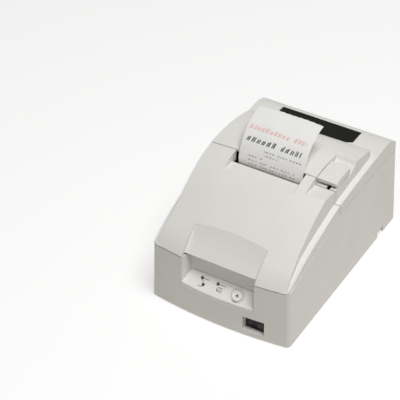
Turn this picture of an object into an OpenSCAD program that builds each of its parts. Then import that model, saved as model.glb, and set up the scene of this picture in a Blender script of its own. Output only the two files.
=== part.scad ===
// Compact impact receipt printer with a drop-in paper roll.
// Units are millimetres. +X is right seen from the front, +Y is towards the back, +Z is up.
// The origin is on the resting surface, under the middle of the case.

/* [Case] */
// Width of the case at the seam
case_w = 160; // [156:1:170]
// Depth of the case at the seam, from the middle of the bowed front to the back
case_d = 248; // [246:1:256]
// Height of the crown of the covers
case_h = 138.5; // [137:0.5:144]
// How far the middle of the front bows out past the corners
front_bow = 6; // [4:0.5:7]
// Radius of the upright corners
corner_r = 5; // [3:0.5:6]
// Draft of the case's walls, which widen towards the foot, in degrees
draft = 1.6; // [1:0.1:2]
// Wall of the moulded shells
wall = 2.5; // [2:0.1:2.8]
// Height of the front wall, where the front cover's lip meets it
front_h = 71; // [69:0.5:73]
// Height of the side walls, where the roll cover's skirt meets them
side_h = 99; // [97:0.5:101]
// Height of the back wall
back_h = 95; // [93:0.5:96]
// Height of the feet below the case
foot_h = 1.2; // [1:0.1:2]
// Gap between a cover and what it closes on
seam = 0.8; // [0.7:0.05:1]

/* [Covers] */
// Width of the low rail along each side of the covers
rail_w = 6.5; // [5:0.5:8]
// Height of the flat rear of the roll cover
rear_h = 118; // [116.5:0.5:120]
// Where the two covers meet, from the middle of the case
meet_y = -10.5; // [-12:0.5:-9]
// Tilt of the far axis that the crown is turned about
crown_tilt = 25; // [20:1:30]
// Width of the control niche and of the scoop above it
niche_w = 86; // [80:1:88]
// Height of the front cover's pivot
front_pivot_z = 53; // [51:0.5:55]
// Height of the roll cover's pivot
rear_pivot_z = 75; // [73:0.5:76]

/* [Paper path] */
// Width of the paper
paper_w = 76; // [72:0.5:77]
// Middle of the paper path, from the middle of the case
path_x = -2.5; // [-4:0.5:0]
// Diameter of the paper roll that is fitted
roll_d = 70; // [50:1:80]
// Radius of the trough that the roll drops into
trough_r = 43.5; // [42:0.5:44]
// Length of the paper slot
slot_w = 83; // [80:0.5:85]
// Front to back length of the slot
slot_d = 7.5; // [6.5:0.5:8.5]

/* [Lever and window] */
// Width of the cover lever
lever_w = 22; // [20:0.5:23]
// Length of the cover lever
lever_l = 34; // [30:1:36]
// Width of the roll window
window_w = 97; // [90:1:100]
// Front to back length of the roll window
window_l = 26.5; // [24:0.5:28]

/* [Front controls] */
// Width of the power rocker
rocker_w = 21; // [19:0.5:22]
// Height of the power rocker
rocker_h = 13; // [12:0.5:14]
// Diameter of the feed button
button_d = 11; // [9:0.5:12]
// Travel of the feed button
button_travel = 1; // [0.8:0.1:1.2]

/* [Mechanism] */
// Distance between the two side plates of the frame
frame_w = 121.5; // [118:0.5:123]
// Thickness of the frame's sheet
sheet_t = 1.5; // [1.2:0.1:1.8]
// Diameter of the carriage's guide shaft
shaft_d = 8; // [7:0.5:9]
// Width of the print head carriage
carriage_w = 30; // [26:1:34]
// Diameter of the feed roller's rubber
feed_d = 11; // [10:0.5:12]
// Diameter of the pressure roller's rubber
pressure_d = 10; // [9:0.5:11]
// Gear module of the feed train
gear_m = 0.8; // [0.75:0.05:0.85]

/* [Hidden] */
$fn = 64;

// ---- case outline ----
half_w = case_w / 2;
y_back = case_d / 2;
y_front = -case_d / 2;
z_case = foot_h;
plan_r = (half_w * half_w + front_bow * front_bow) / (2 * front_bow);
plan_cy = y_front + plan_r;
clear = 0.3;          // gap between neighbours that are not fixed to each other
bore_fit = 0.05;      // radial running clearance of a pin in its bore

// y of the bowed front, d inside it, at a given x
function front_y(x, d = 0) = plan_cy - sqrt(pow(plan_r - d, 2) - x * x);

// Points of an arc from p to q that rises s above its chord, to the left of p-q
function bulge(p, q, s, n = 8) =
    let (c = norm(q - p) / 2, r = (c * c + s * s) / (2 * s), u = (q - p) / (2 * c),
         v = [-u[1], u[0]], a = asin(c / r))
    [for (i = [0:n]) (p + q) / 2 + u * r * sin(a * (2 * i / n - 1))
        + v * (r * cos(a * (2 * i / n - 1)) - (r - s))];

// A curve moved d to its right, point by point
function inset(pts, d) =
    let (m = len(pts) - 1)
    [for (i = [0:m]) let (t = pts[min(i + 1, m)] - pts[max(i - 1, 0)]) pts[i] + d * [t[1], -t[0]] / norm(t)];

// The curve without the first point of each later stretch, so that no point is doubled
function rest_of(pts) = [for (i = [1:len(pts) - 1]) pts[i]];

// ---- side profiles, as [y, z] ----
lip_angle = 58;
crown_r = plan_r * (cos(crown_tilt) + sin(crown_tilt) / tan(lip_angle));
lip = [y_front, front_h];
knee = [y_front + 20, front_h + 20.5];
shoulder = [y_front + 64, case_h - 18];
peak = [3, case_h];
slope = [y_back - 69, case_h - 6.7];
foot = [y_back - 43, rear_h - 1.5];
crown = concat(bulge(lip, knee, 1.54, 6), rest_of(bulge(knee, shoulder, 0.4, 4)),
    rest_of(bulge(shoulder, peak, 4.6, 10)), rest_of(bulge(peak, slope, 1.7, 6)),
    rest_of(bulge(slope, foot, 2, 6)));
crown_in = inset(crown, wall);

rail_front = [y_front + 4, front_h];
rail_mid = [y_front + 49, rear_h - 24];
rail_meet = [meet_y, rear_h - 7];
rail_rear = [y_back - 44, rear_h - 0.2];
brow = [y_back - 26, rear_h];
brow_low = [y_back - 2.5, rear_h - 10.5];
nape = [y_back, rear_h - 14.5];
rail = concat(bulge(rail_front, rail_mid, 1.8, 6), rest_of(bulge(rail_mid, rail_meet, 1.2, 5)),
    rest_of(bulge(rail_meet, rail_rear, 0.8, 4)), [brow],
    rest_of(bulge(brow, brow_low, 2.4, 6)), rest_of(bulge(brow_low, nape, 0.8, 3)));
rail_in = inset(rail, wall);

skirt_front = [y_front + 4, front_h];
skirt_meet = [meet_y, side_h - 1];
skirt = concat([[y_front - 1, front_h]], bulge(skirt_front, skirt_meet, 2.4, 8),
    [[meet_y + 16, side_h], [y_back - 36, side_h + 1]],
    rest_of(bulge([y_back - 36, side_h + 1], [y_back + 1, back_h], 1.2, 5)));

raised_x = half_w - rail_w;         // side wall of the raised middle
flare_x = half_w - 2.5;             // the same at the front corners
niche_l = path_x + 2 - niche_w / 2; // left side of the niche
niche_r = niche_l + niche_w;
niche_back = y_front + 15;
lip_back = y_front + 8.3;           // the scooped lip over the niche
lip_z = front_h + 2;
scoop_top = [y_front + 32, lookup(y_front + 32, crown)];
scoop = bulge([lip_back, lip_z], scoop_top, -1.2, 6);

slot_l = path_x + 1 - slot_w / 2;
slot_r = slot_l + slot_w;
slot_front = meet_y - slot_d;
slot_floor = [[y_front + 83, lookup(y_front + 83, crown)], [slot_front, case_h - 12.5]];
grip_l = half_w - 29;               // left side of the lever's scoop
grip_floor = [[y_front + 86, lookup(y_front + 86, crown)], [meet_y, case_h - 11.5]];

// ---- mechanism places, as [y, z] ----
print_y = -14;                      // plane of the paper at the print line
print_z = 94;
web_t = 0.3;
web_front = print_y - web_t / 2;
web_back = print_y + web_t / 2;
feed_c = [web_front - clear - feed_d / 2, 78];
pressure_c = [web_back + clear + pressure_d / 2, 78];
shaft_c = [-37, 76];
frame_l = path_x - frame_w / 2;
frame_r = path_x + frame_w / 2;
frame_z = 18;
plate_z = foot_h + 1;
plate_t = 2;
plate_top = plate_z + plate_t;
front_pivot = [front_y(niche_r + 6, wall) + 4, front_pivot_z];
rear_pivot = [y_back - wall - 4, rear_pivot_z];
arm_w = 5;
pin_r = 2;
front_arm_x = [niche_l - 4 - arm_w, niche_r + 4];
rear_arm_x = [-half_w + 17, half_w - 17 - arm_w];
trough_c = [y_back - 54, 72];
hopper_w = paper_w + 6;             // outside width of the hopper
hopper_t = 2;
hopper_l = path_x - hopper_w / 2;
roll_c = [trough_c[0], trough_c[1] - trough_r + roll_d / 2 + clear];
web_turn = 70;                      // how far the web turns from the trough up to the print line
web_r = 20;
bay_l = -half_w + 14;
bay_front = y_back - 44;
bay_z = 24;
carriage_y = [-48, -27.5];
belt_z = 63;
pulley_r = 6;
pulley_y = shaft_c[0] - 7;
pulley_x = frame_w / 2 - 10.75;      // pulley axles, from the middle of the path

// ---- plain helpers ----
module along_x(x0, x1) {
    translate([x0, 0, 0]) rotate([90, 0, 90]) linear_extrude(x1 - x0) children();
}

module box(x, y, z) {
    translate([x[0], y[0], z[0]]) cube([x[1] - x[0], y[1] - y[0], z[1] - z[0]]);
}

module rod(c, x0, x1, r) {
    translate([x0, c[0], c[1]]) rotate([0, 90, 0]) cylinder(h = x1 - x0, r = r);
}

module post(x, y, z0, z1, r) {
    translate([x, y, z0]) cylinder(h = z1 - z0, r = r);
}

// Outline of the case seen from above, d inside it, with its bowed front
module plan_2d(d = 0) {
    r = corner_r - min(d, corner_r - 1);
    x = half_w - d;
    cx = x - r;
    cy = plan_cy - sqrt(pow(plan_r - d - r, 2) - cx * cx);
    tx = cx * (plan_r - d) / (plan_r - d - r);
    back = y_back - d;
    intersection() {
        translate([0, plan_cy]) circle(plan_r - d, $fn = 256);
        translate([-tx, y_front - 1]) square([2 * tx, y_back]);
    }
    translate([-x, cy]) square([2 * x, back - r - cy]);
    translate([-cx, cy]) square([2 * cx, back - cy]);
    for (s = [-1, 1]) {
        translate([s * cx, cy]) circle(r);
        translate([s * cx, back - r]) circle(r);
    }
}

module plan(z0, z1, d = 0) {
    translate([0, 0, z0]) linear_extrude(z1 - z0) plan_2d(d);
}

// Plan of the raised middle of the covers: it flares at the front and has round rear corners
module raised_2d(d = 0) {
    x = raised_x - d;
    f = flare_x - d;
    r = 14;
    polygon([[-f, y_front - 5], [f, y_front - 5], [x, y_front + 40], [x, foot[0] - r],
        [x - r, foot[0] - r], [x - r, foot[0] + 4], [r - x, foot[0] + 4], [r - x, foot[0] - r],
        [-x, foot[0] - r], [-x, y_front + 40]]);
    for (s = [-1, 1]) translate([s * (x - r), foot[0] - r]) circle(r);
}

// A side profile turned about a far tilted axis, so that it is crowned across and bowed
module crowned(x) {
    lip_q = -lip[0] * cos(crown_tilt) + lip[1] * sin(crown_tilt);
    far = crown_r - lip_q;
    sweep = asin(x / (far - 20)) + 1;
    translate([0, far * cos(crown_tilt), -far * sin(crown_tilt)])
        rotate([-crown_tilt, 0, 0]) rotate([0, 0, -90 - sweep])
            rotate_extrude(angle = 2 * sweep, $fn = 256)
                translate([far, 0]) rotate(-crown_tilt) mirror([1, 0]) children();
}

// Crowned block under a whole curve, down to low
module crown_block(pts, low) {
    crowned(half_w) polygon(concat([[pts[0][0], low]], pts, [[pts[len(pts) - 1][0], low]]));
}

// ---- lower case ----
// How far the walls stand out past the seam's outline at a height, for a seam at top
function flare(z, top) = tan(draft) * (top - z);

// Prism across y between the two drafted side walls, d inside them
module between_sides(z0, z1, d) rotate([90, 0, 0]) translate([0, 0, -y_back - 20])
    linear_extrude(case_d + 40) polygon([for (p = [[-1, z0], [1, z0], [1, z1], [-1, z1]])
        [p[0] * (half_w - d + flare(p[1], side_h)), p[1]]]);

// Cuts one upright corner round. The axis stands at p, a is its lean sideways and b its lean
// to the back, and turn is the angle of the front's own normal there
module corner_cut(p, side, b, turn, r, h) translate(p) rotate([b, -side * draft, 0]) mirror([side < 0 ? 1 : 0, 0, 0])
    difference() {
        translate([0, 0, -3]) linear_extrude(h + 6) polygon(turn > 0
            ? [[0, 0], [20, 0], [20, -20], [20 * sin(turn), -20 * cos(turn)]]
            : [[0, 0], [20, 0], [20, 20], [0, 20]]);
        translate([0, 0, -4]) cylinder(h = h + 8, r = r);
    }

// The case's outer form with its drafted walls, bowed front and round corners, d inside it
module case_form(z0, z1, d = 0) {
    r = corner_r - min(d, corner_r - 1);
    e = r - 0.02;
    cx = half_w - d + flare(z0, side_h) - e;
    arc = plan_r - d + flare(z0, front_h) - e;
    cy = plan_cy - sqrt(arc * arc - cx * cx);
    lean = atan(tan(draft) * (arc - cx) / sqrt(arc * arc - cx * cx));
    difference() {
        intersection() {
            between_sides(z0, z1, d);
            translate([0, plan_cy, z0]) cylinder(h = z1 - z0, r1 = plan_r - d + flare(z0, front_h),
                r2 = plan_r - d + flare(z1, front_h), $fn = 256);
            along_x(-half_w - 20, half_w + 20) polygon([[y_front - 20, z0 - 1],
                [y_back - d + flare(z0 - 1, back_h), z0 - 1], [y_back - d + flare(z1 + 1, back_h), z1 + 1],
                [y_front - 20, z1 + 1]]);
        }
        for (s = [-1, 1]) {
            corner_cut([s * cx, cy, z0], s, -lean, asin(cx / arc), r, z1 - z0);
            corner_cut([s * cx, y_back - d + flare(z0, back_h) - e, z0], s, draft, 0, r, z1 - z0);
        }
    }
}

splay = 4;                          // how much the niche narrows towards its back
ledge = 1.2;                        // seat of the control panel round the niche

// Plan of the niche, d inside it
module niche_2d(d) polygon([[niche_l + d, y_front - 9], [niche_r - d, y_front - 9],
    [niche_r - d, y_front + 4], [niche_r - splay - d, niche_back - d],
    [niche_l + splay + d, niche_back - d], [niche_l + d, y_front + 4]]);

// Outline of the niche in the plane of the panel, d inside it
module panel_2d(d) {
    s1 = (y_front + 4 - panel_low[0]) / cos(panel_tilt);
    s2 = (niche_back - panel_low[0]) / cos(panel_tilt);
    w = niche_w / 2;
    polygon([[d - w, -6], [w - d, -6], [w - d, s1], [w - splay - d, s2 - d], [splay + d - w, s2 - d], [d - w, s1]]);
}

// Plan of the opening under the panel, e inside it
module below_panel(e) intersection() {
    panel_2d(ledge + e);
    translate([-niche_w, 1.5 + e]) square([2 * niche_w, niche_w]);
}

// Space of the control niche: down to the panel's seat, and open below the panel
module niche_space() {
    intersection() {
        translate([0, 0, 30]) linear_extrude(70) niche_2d(0);
        on_panel() translate([-niche_w, -12, -panel_t - clear]) cube([2 * niche_w, 60, 80]);
    }
    on_panel() translate([0, 0, -panel_t - clear - 6]) linear_extrude(7) below_panel(0);
}

rocker_c = [niche_r, foot_h + 14];  // middle of the power rocker, as [x, z]
recess_w = rocker_w + 3.4;
recess_h = rocker_h + 4.4;
recess_d = 5;
rocker_front = front_y(rocker_c[0]) - flare(rocker_c[1], front_h);
rocker_y = rocker_front + recess_d;

module rocker_recess(extra = 0, depth = recess_d) {
    box([rocker_c[0] - recess_w / 2 - extra, rocker_c[0] + recess_w / 2 + extra],
        [y_front - 9, rocker_front + depth + extra],
        [rocker_c[1] - recess_h / 2 - extra + 1, rocker_c[1] + recess_h / 2 + extra + 1]);
}

module bay_space(d = 0) {
    box([bay_l - d, half_w + 9], [bay_front - d, y_back + 9], [-3, bay_z + d]);
}

ear_t = 3;

// Ears that carry a hinge pin on both sides of an arm
module hinge_ears(x, y, z) {
    box([x - clear - ear_t, x - clear], y, z);
    box([x + arm_w + clear, x + arm_w + clear + ear_t], y, z);
}

// Pins through the ears and the arms at the places xs
module pins(xs, pivot, extra = 0) for (x = xs)
    rod(pivot, x - clear - ear_t + 0.4 - extra, x + arm_w + clear + ear_t - 0.4 + extra, pin_r);

screw_r = 1.25;
boss_x = half_w - wall - 4;
boss_y = [y_front + 14, bay_front - 12];

module lower_case() color([0.87, 0.86, 0.82]) difference() {
    union() {
        case_shell();
        for (x = front_arm_x)
            hinge_ears(x, [front_y(x) + wall - 1.6, front_pivot[0] + 4], [front_pivot_z - 5, front_pivot_z + 5]);
        for (x = rear_arm_x)
            hinge_ears(x, [rear_pivot[0] - 4, y_back - wall + 1.6], [rear_pivot_z - 6, rear_pivot_z + 5]);
        for (s = [-1, 1], y = boss_y) {
            post(s * boss_x, y, plate_top, 26, 3.5);
            box([min(s * boss_x, s * (half_w - wall + 3)), max(s * boss_x, s * (half_w - wall + 3))],
                [y - 1, y + 1], [plate_top + 4, 25]);
        }
    }
    pins(front_arm_x, front_pivot);
    pins(rear_arm_x, rear_pivot);
    for (s = [-1, 1], y = boss_y) post(s * boss_x, y, plate_top - 1, 24, screw_r + bore_fit);
}

module case_shell() difference() {
    case_form(z_case, side_h + 2);
    difference() {
        case_form(-1, side_h + 4, wall);
        intersection() {
            union() {
                niche_walls();
                rocker_recess(2, recess_d);
                bay_space(2);
            }
            case_form(-2, side_h + 5, wall - 0.5);
        }
    }
    // the sweep of the side walls below the covers
    along_x(-half_w - 9, half_w + 9) polygon(concat([[y_front - 9, front_h - seam]],
        [for (p = skirt) p - [0, seam]], [[y_back + 9, back_h - seam], [y_back + 9, side_h + 9],
        [y_front - 9, side_h + 9]]));
    niche_space();
    rocker_recess();
    // seat of the power switch
    box([rocker_c[0] - rocker_w / 2 - 1, rocker_c[0] + rocker_w / 2 + 1],
        [rocker_y - 1, rocker_y + 4], [rocker_c[1] - rocker_h / 2 - 1, rocker_c[1] + rocker_h / 2 + 1]);
    intersection() {
        bay_space();
        between_sides(-3, side_h, wall);
    }
    // cable exit at the side of the bay
    box([half_w - wall - 1, half_w + 9], [bay_front + 2, bay_front + 16], [-1, 8]);
    // seats of the sockets in the front wall of the bay
    socket_cuts();
    // chamfer along the lower back edge
    along_x(-half_w - 9, half_w + 9)
        polygon([[y_back + 5, z_case - 1], [y_back - 1, z_case - 1], [y_back + 5, z_case + 8]]);
}

// Walls of the niche and the ledge that the panel lies on
module niche_walls() intersection() {
    translate([0, 0, 25]) linear_extrude(front_h - 25 - seam) niche_2d(-2);
    on_panel() translate([-niche_w, -15, -panel_t - clear - 2]) cube([2 * niche_w, 70, 80]);
}

socket_z = foot_h + 12.5;
plate_x = [-44, 8];                 // interface plate, on the front wall of the bay
dc_x = 26;
jack_x = 46;

// Openings for the interface plate, the power inlet and the drawer jack
module socket_cuts() {
    box([plate_x[0] + 3, plate_x[1] - 3], [bay_front - 3, bay_front + 1], [socket_z - 7, socket_z + 7]);
    translate([dc_x, bay_front + 1, socket_z]) rotate([90, 0, 0]) cylinder(h = 4, r = 7.5 + clear);
    box([jack_x - 7 - clear, jack_x + 7 + clear], [bay_front - 3, bay_front + 1],
        [socket_z - 6.5 - clear, socket_z + 6.5 + clear]);
}

// ---- base plate and what stands on it ----
post_x = [frame_l + 4, frame_r - 4];
post_y = [-58, 22];
board_x = [frame_l + 9, frame_r - 9];
board_y = [-72, bay_front - 46];
board_z = plate_top + 6;

module base_plate() color("dimgray") difference() {
    union() {
        intersection() {
            case_form(plate_z, plate_top, wall + clear);
            difference() {
                box([-half_w - 9, half_w + 9], [y_front - 9, y_back + 9], [0, 30]);
                box([bay_l - 2 - clear, half_w + 9], [bay_front - 2 - clear, y_back + 9], [-1, 40]);
            }
        }
        for (x = post_x, y = post_y) post(x, y, plate_top - 0.1, frame_z, 4);
        for (x = [board_x[0] + 5, board_x[1] - 5], y = [board_y[0] + 5, board_y[1] - 5])
            post(x, y, plate_top - 0.1, board_z, 3);
        for (s = [-1, 1]) post(path_x + s * 34, rest_y, plate_top - 0.1, hopper_under(rest_y + 4, clear), 4);
        // stiffening ribs
        for (y = [y_front + 26, y_front + 40]) box([-half_w + 20, half_w - 20], [y, y + 1.5], [plate_top - 0.1, plate_top + 3]);
    }
    for (s = [-1, 1], y = boss_y) post(s * boss_x, y, plate_z - 1, plate_top + 1, 1.7);
    // ventilation slots
    for (i = [-4:4]) box([path_x + i * 11 - 1.5, path_x + i * 11 + 1.5], [-20, 24], [plate_z - 1, plate_top + 1]);
    // window over the setting switches
    box([switch_x - 12, switch_x + 12], [switch_y - 7, switch_y + 7], [plate_z - 1, plate_top + 1]);
}

// Height of the hopper's outside, d below it, at y
function hopper_under(y, d = 0) = trough_c[1] - sqrt(pow(trough_r + hopper_t, 2) - pow(y - trough_c[0], 2)) - d;

rest_y = trough_c[0] - 12;          // posts under the paper trough

feet_x = half_w - 22;
feet_y = [y_front + 30, bay_front - 16];

module feet() color([0.15, 0.15, 0.15])
    for (s = [-1, 1], y = feet_y) translate([s * feet_x, y, 0])
        rotate_extrude() polygon([[0, 0], [6, 0], [7, 0.8], [7, plate_z], [0, plate_z]]);

module case_screws() color("silver")
    for (s = [-1, 1], y = boss_y) difference() {
        union() {
            post(s * boss_x, y, plate_z - 1.1, plate_z, 3);
            post(s * boss_x, y, plate_z - 0.1, plate_top + 9, screw_r);
        }
        post(s * boss_x, y, plate_z - 2, plate_z - 0.5, 1.2);
    }

switch_x = -36;
switch_y = y_front + 33;

module switch_cover() color([0.3, 0.3, 0.3]) {
    box([switch_x - 11.7, switch_x + 11.7], [switch_y - 6.7, switch_y + 6.7], [plate_z + 0.4, plate_top]);
    box([switch_x - 14, switch_x + 14], [switch_y - 4, switch_y + 4], [plate_top, plate_top + 1]);
}

// ---- front controls ----
panel_t = 2;
panel_tilt = atan2(11, niche_back - y_front - 1.5);
panel_low = [y_front + 1.4, 38];    // front edge of the panel's face, as [y, z]

// Puts its children on the panel: x across, y up the slope, z out of the face
module on_panel() translate([path_x + 2, panel_low[0], panel_low[1]]) rotate([panel_tilt, 0, 0]) children();

button_x = 20.6;
button_s = 7.2;
led_s = [[-23.2, 11.6], [-19.5, 5.2], [-4.2, 11.4]];

module control_panel() color([0.95, 0.95, 0.94]) difference() {
    intersection() {
        on_panel() translate([0, 0, -panel_t]) linear_extrude(panel_t) panel_2d(0);
        translate([0, 0, 20]) linear_extrude(50) niche_2d(clear);
        case_form(28, 60, 0.3);
    }
    on_panel() {
        translate([button_x, button_s, -5]) cylinder(h = 9, r = button_d / 2 + clear);
        for (p = led_s) translate([p[0], p[1], -5]) cylinder(h = 9, r = 1.25);
    }
}

board_top = -6;                     // top of the panel's board, below the panel's face

module led_lenses() color([0.1, 0.12, 0.1]) on_panel()
    for (p = led_s) translate([p[0], p[1], board_top]) {
        cylinder(h = 0.2 - board_top, r = 1.2);
        cylinder(h = -panel_t - clear - board_top, r = 1.7);
    }

module feed_button() color([0.93, 0.93, 0.92]) on_panel() translate([button_x, button_s, 0]) {
    difference() {
        translate([0, 0, -panel_t - clear - 0.1]) cylinder(h = panel_t + clear + 1.6, r = button_d / 2);
        // shallow finger dish
        translate([0, 0, 21.4]) sphere(20.4, $fn = 96);
    }
    // tabs that keep it behind the panel
    translate([-button_d / 2 - 0.9, -2, -panel_t - clear - 0.9]) cube([button_d + 1.8, 4, 0.9]);
}

module panel_board() color("darkgreen") on_panel() {
    translate([0, 0, board_top - 1.5]) linear_extrude(1.5) below_panel(0.4);
    // switch under the button
    translate([button_x - 3, button_s - 3, board_top - 0.1])
        cube([6, 6, -board_top - panel_t - clear - 0.8 - button_travel - clear]);
}

module switch_body() color([0.12, 0.12, 0.12]) difference() {
    box([rocker_c[0] - rocker_w / 2 - 1, rocker_c[0] + rocker_w / 2 + 1], [rocker_y, rocker_y + 14],
        [rocker_c[1] - rocker_h / 2 - 1, rocker_c[1] + rocker_h / 2 + 1]);
    box([rocker_c[0] - rocker_w / 2, rocker_c[0] + rocker_w / 2], [rocker_y - 1, rocker_y + 7],
        [rocker_c[1] - rocker_h / 2, rocker_c[1] + rocker_h / 2]);
    rocker_axle(0);
}

rocker_axle_y = rocker_y + 3.4;

module rocker_axle(d) translate([rocker_c[0], rocker_axle_y, rocker_c[1] - rocker_h / 2 - 1 + d])
    cylinder(h = rocker_h + 2 - 2 * d, r = 1 - (d > 0 ? bore_fit : 0));

module power_rocker() color([0.08, 0.08, 0.08]) {
    w = rocker_w / 2 - 0.6;
    translate([0, 0, rocker_c[1] - rocker_h / 2 + clear]) linear_extrude(rocker_h - 2 * clear)
        polygon([for (p = [[-w, -1.6], [-w * 0.5, -0.5], [0, 0], [w * 0.5, -0.5], [w, -1.6],
            [w * 0.8, 2], [3, 4.6], [-3, 4.6], [-w * 0.8, 2]]) [rocker_c[0] + p[0], rocker_y + 0.8 + p[1]]]);
    rocker_axle(0.2);
}

// ---- front cover ----
// Outer form of the covers between y0 and y1
module cover_form(y0, y1, d = 0) {
    pts = d > 0 ? crown_in : crown;
    edge = d > 0 ? rail_in : rail;
    intersection() {
        plan(20 - d, case_h + 5, d);
        box([-half_w - 2, half_w + 2], [y0, y1], [10, case_h + 8]);
        union() {
            intersection() {
                crown_block(pts, 14);
                linear_extrude(case_h + 10) raised_2d(d);
            }
            along_x(-half_w - 1, half_w + 1) polygon(concat([[edge[0][0], 12]], edge, [[y_back + 1, 12]]));
        }
    }
}

// Everything below the covers' lower edge
module below_skirt(lift = 0) along_x(-half_w - 2, half_w + 2)
    polygon(concat([[y_front - 2, -5]], [for (p = skirt) p + [0, lift]], [[y_back + 2, back_h], [y_back + 2, -5]]));

module scoop_space(d = 0) along_x(niche_l - d, niche_r + d)
    polygon(concat([[y_front - 5, 30], [lip_back + d, 30]], d > 0 ? inset(scoop, d) : scoop,
        [scoop_top + [0, 20], [y_front - 5, scoop_top[1] + 20]]));

// Space of the notch in front of the slot, d round it
module slot_space(d) along_x(slot_l - d, slot_r + d)
    polygon([slot_floor[0] - [0, d], slot_floor[1] - [0, d], [meet_y + 2, slot_floor[1][1] - d],
        [meet_y + 2, case_h + 5], [slot_floor[0][0], case_h + 5]]);

module grip_space(d = 0) along_x(grip_l - d, half_w)
    polygon([grip_floor[0] - [0, d], grip_floor[1] - [0, d], [meet_y + 1, grip_floor[1][1] - d],
        [meet_y + 1, case_h + 5], [grip_floor[0][0], case_h + 5]]);

// Arm that reaches back from a pivot and then up into a cover
module goose_neck(x, pivot, reach, top) {
    s = sign(reach);
    difference() {
        union() {
            rod(pivot, x, x + arm_w, 3.5);
            along_x(x, x + arm_w) polygon([pivot + [0, -2.5], pivot + [reach + s * 2.5, -2.5],
                [pivot[0] + reach + s * 2.5, top], [pivot[0] + reach - s * 2.5, top],
                pivot + [reach - s * 2.5, 2.5], pivot + [0, 2.5]]);
        }
        rod(pivot, x - 1, x + arm_w + 1, pin_r + bore_fit);
    }
}

front_reach = front_h - front_pivot_z + 6;
rear_reach = back_h - rear_pivot_z + 5;

module front_cover() color([0.87, 0.86, 0.82]) {
    difference() {
        cover_form(y_front - 1, meet_y - seam / 2);
        below_skirt();
        scoop_space();
        along_x(slot_l, slot_r) polygon([slot_floor[0], slot_floor[1], [slot_front, 60],
            [meet_y + 1, 60], [meet_y + 1, case_h + 5], [slot_floor[0][0], case_h + 5]]);
        grip_space();
        difference() {
            cover_form(y_front - 1, meet_y + 1, wall);
            scoop_space(wall);
            slot_space(wall);
            grip_space(wall);
        }
    }
    for (x = front_arm_x)
        goose_neck(x, front_pivot, front_reach, lookup(front_pivot[0] + front_reach - 3, crown) - 1.5);
}

module tear_bar() color("silver") {
    n = 34;
    pitch = (slot_w - 6) / n;
    // teeth along the back edge of the blade
    translate([slot_l + 3, slot_front - 4, slot_floor[1][1] - wall - 0.8]) linear_extrude(0.8)
        polygon(concat([[0, -4]], [for (i = [0:n - 1], k = [0, 1]) [(i + k * 0.5) * pitch, 3 + k * 1.4]],
            [[n * pitch, 3], [n * pitch, -4]]));
}

module front_hinge_pins() color("silver") pins(front_arm_x, front_pivot);
module rear_hinge_pins() color("silver") pins(rear_arm_x, rear_pivot);

// ---- roll cover ----
lever_x = [half_w - 28.5, half_w - 28.5 + lever_w];
lever_back = meet_y + lever_l;
pocket_back = lever_back + 15;
pocket_z = case_h - 11;
window_x = [path_x - window_w / 2, path_x + window_w / 2];
window_y = [y_back - 45, y_back - 45 + window_l];

// Space of the lever and the finger pocket behind it, open towards the side
module pocket_space(d = 0) along_x(lever_x[0] - 0.6 - d, half_w)
    polygon([[meet_y - 1, pocket_z - d], [lever_back - 15, pocket_z - d], [lever_back - 12, pocket_z - 1.6 - d],
        [lever_back + 2, pocket_z - 1.6 - d], [lever_back + 6, pocket_z + 1 - d],
        [pocket_back - 4 + d / 2, lookup(pocket_back, crown) - 4 - d], [pocket_back + d, lookup(pocket_back, crown) + 1],
        [pocket_back, case_h + 5], [meet_y - 1, case_h + 5]]);

module window_plan(d = 0) polygon([[window_x[0] - d, window_y[1] + d], [window_x[0] - d, window_y[0] + 5],
    [window_x[0] + 10, window_y[0] - d], [window_x[1] - 10, window_y[0] - d],
    [window_x[1] + d, window_y[0] + 5], [window_x[1] + d, window_y[1] + d]]);

module roll_cover() color([0.87, 0.86, 0.82]) {
    difference() {
        cover_form(meet_y + seam / 2, y_back + 1);
        below_skirt();
        pocket_space();
        difference() {
            cover_form(meet_y - 1, y_back + 1, wall);
            pocket_space(wall);
        }
        translate([0, 0, rear_h - 12]) linear_extrude(30) window_plan();
        // way of the latch hook through the pocket's floor
        box([hook_x - 0.6, hook_x + hook_t + 0.6], [meet_y - 1, hook_pin_c[0]], [pocket_z - wall - 1, pocket_z + 1]);
    }
    for (x = rear_arm_x)
        goose_neck(x, rear_pivot, -rear_reach, lookup(rear_pivot[0] - rear_reach + 3, rail) - 1.5);
    // seats of the lever's pin
    for (x = [lever_x[0] + 1, lever_x[1] - 6]) difference() {
        union() {
            box([x, x + 3], [lever_c[0] - seat_r, lever_c[0] + seat_r], [pocket_z - 2, lever_c[1]]);
            rod(lever_c, x, x + 3, seat_r);
        }
        rod(lever_c, x - 1, x + 4, 1);
    }
}

module roll_window() color([0.06, 0.06, 0.07]) difference() {
    translate([0, 0, rear_h - 3.2]) linear_extrude(2.4) window_plan(-0.15);
    // bevelled ends
    for (s = [0, 1]) translate([window_x[s], 0, rear_h - 0.8]) rotate([0, s == 0 ? 12 : -12, 0])
        translate([s == 0 ? -9 : -1, window_y[0] - 5, -0.2 - 1.9]) cube([10, window_l + 10, 10]);
}

lever_c = [lever_back - 4, case_h - 7];
seat_r = 2.2;

module cover_lever() color([0.89, 0.88, 0.85]) difference() {
    intersection() {
        crown_block(crown, 40);
        box(lever_x, [meet_y + 0.6, lever_back - 0.6], [pocket_z + 0.6, case_h + 3]);
    }
    // hollow under the lever's top
    box([lever_x[0] + 1.8, lever_x[1] - 1.8], [meet_y + 3, lever_back - 9], [pocket_z - 1, case_h - 5.2]);
    for (x = [lever_x[0] + 1, lever_x[1] - 6]) {
        box([x - clear, x + 3 + clear], [lever_c[0] - seat_r - 1.2, lever_back], [pocket_z - 1, lever_c[1]]);
        rod(lever_c, x - clear, x + 3 + clear, seat_r + 0.5);
    }
    rod(lever_c, lever_x[0] - 1, lever_x[1] + 1, 1 + bore_fit);
}

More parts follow.
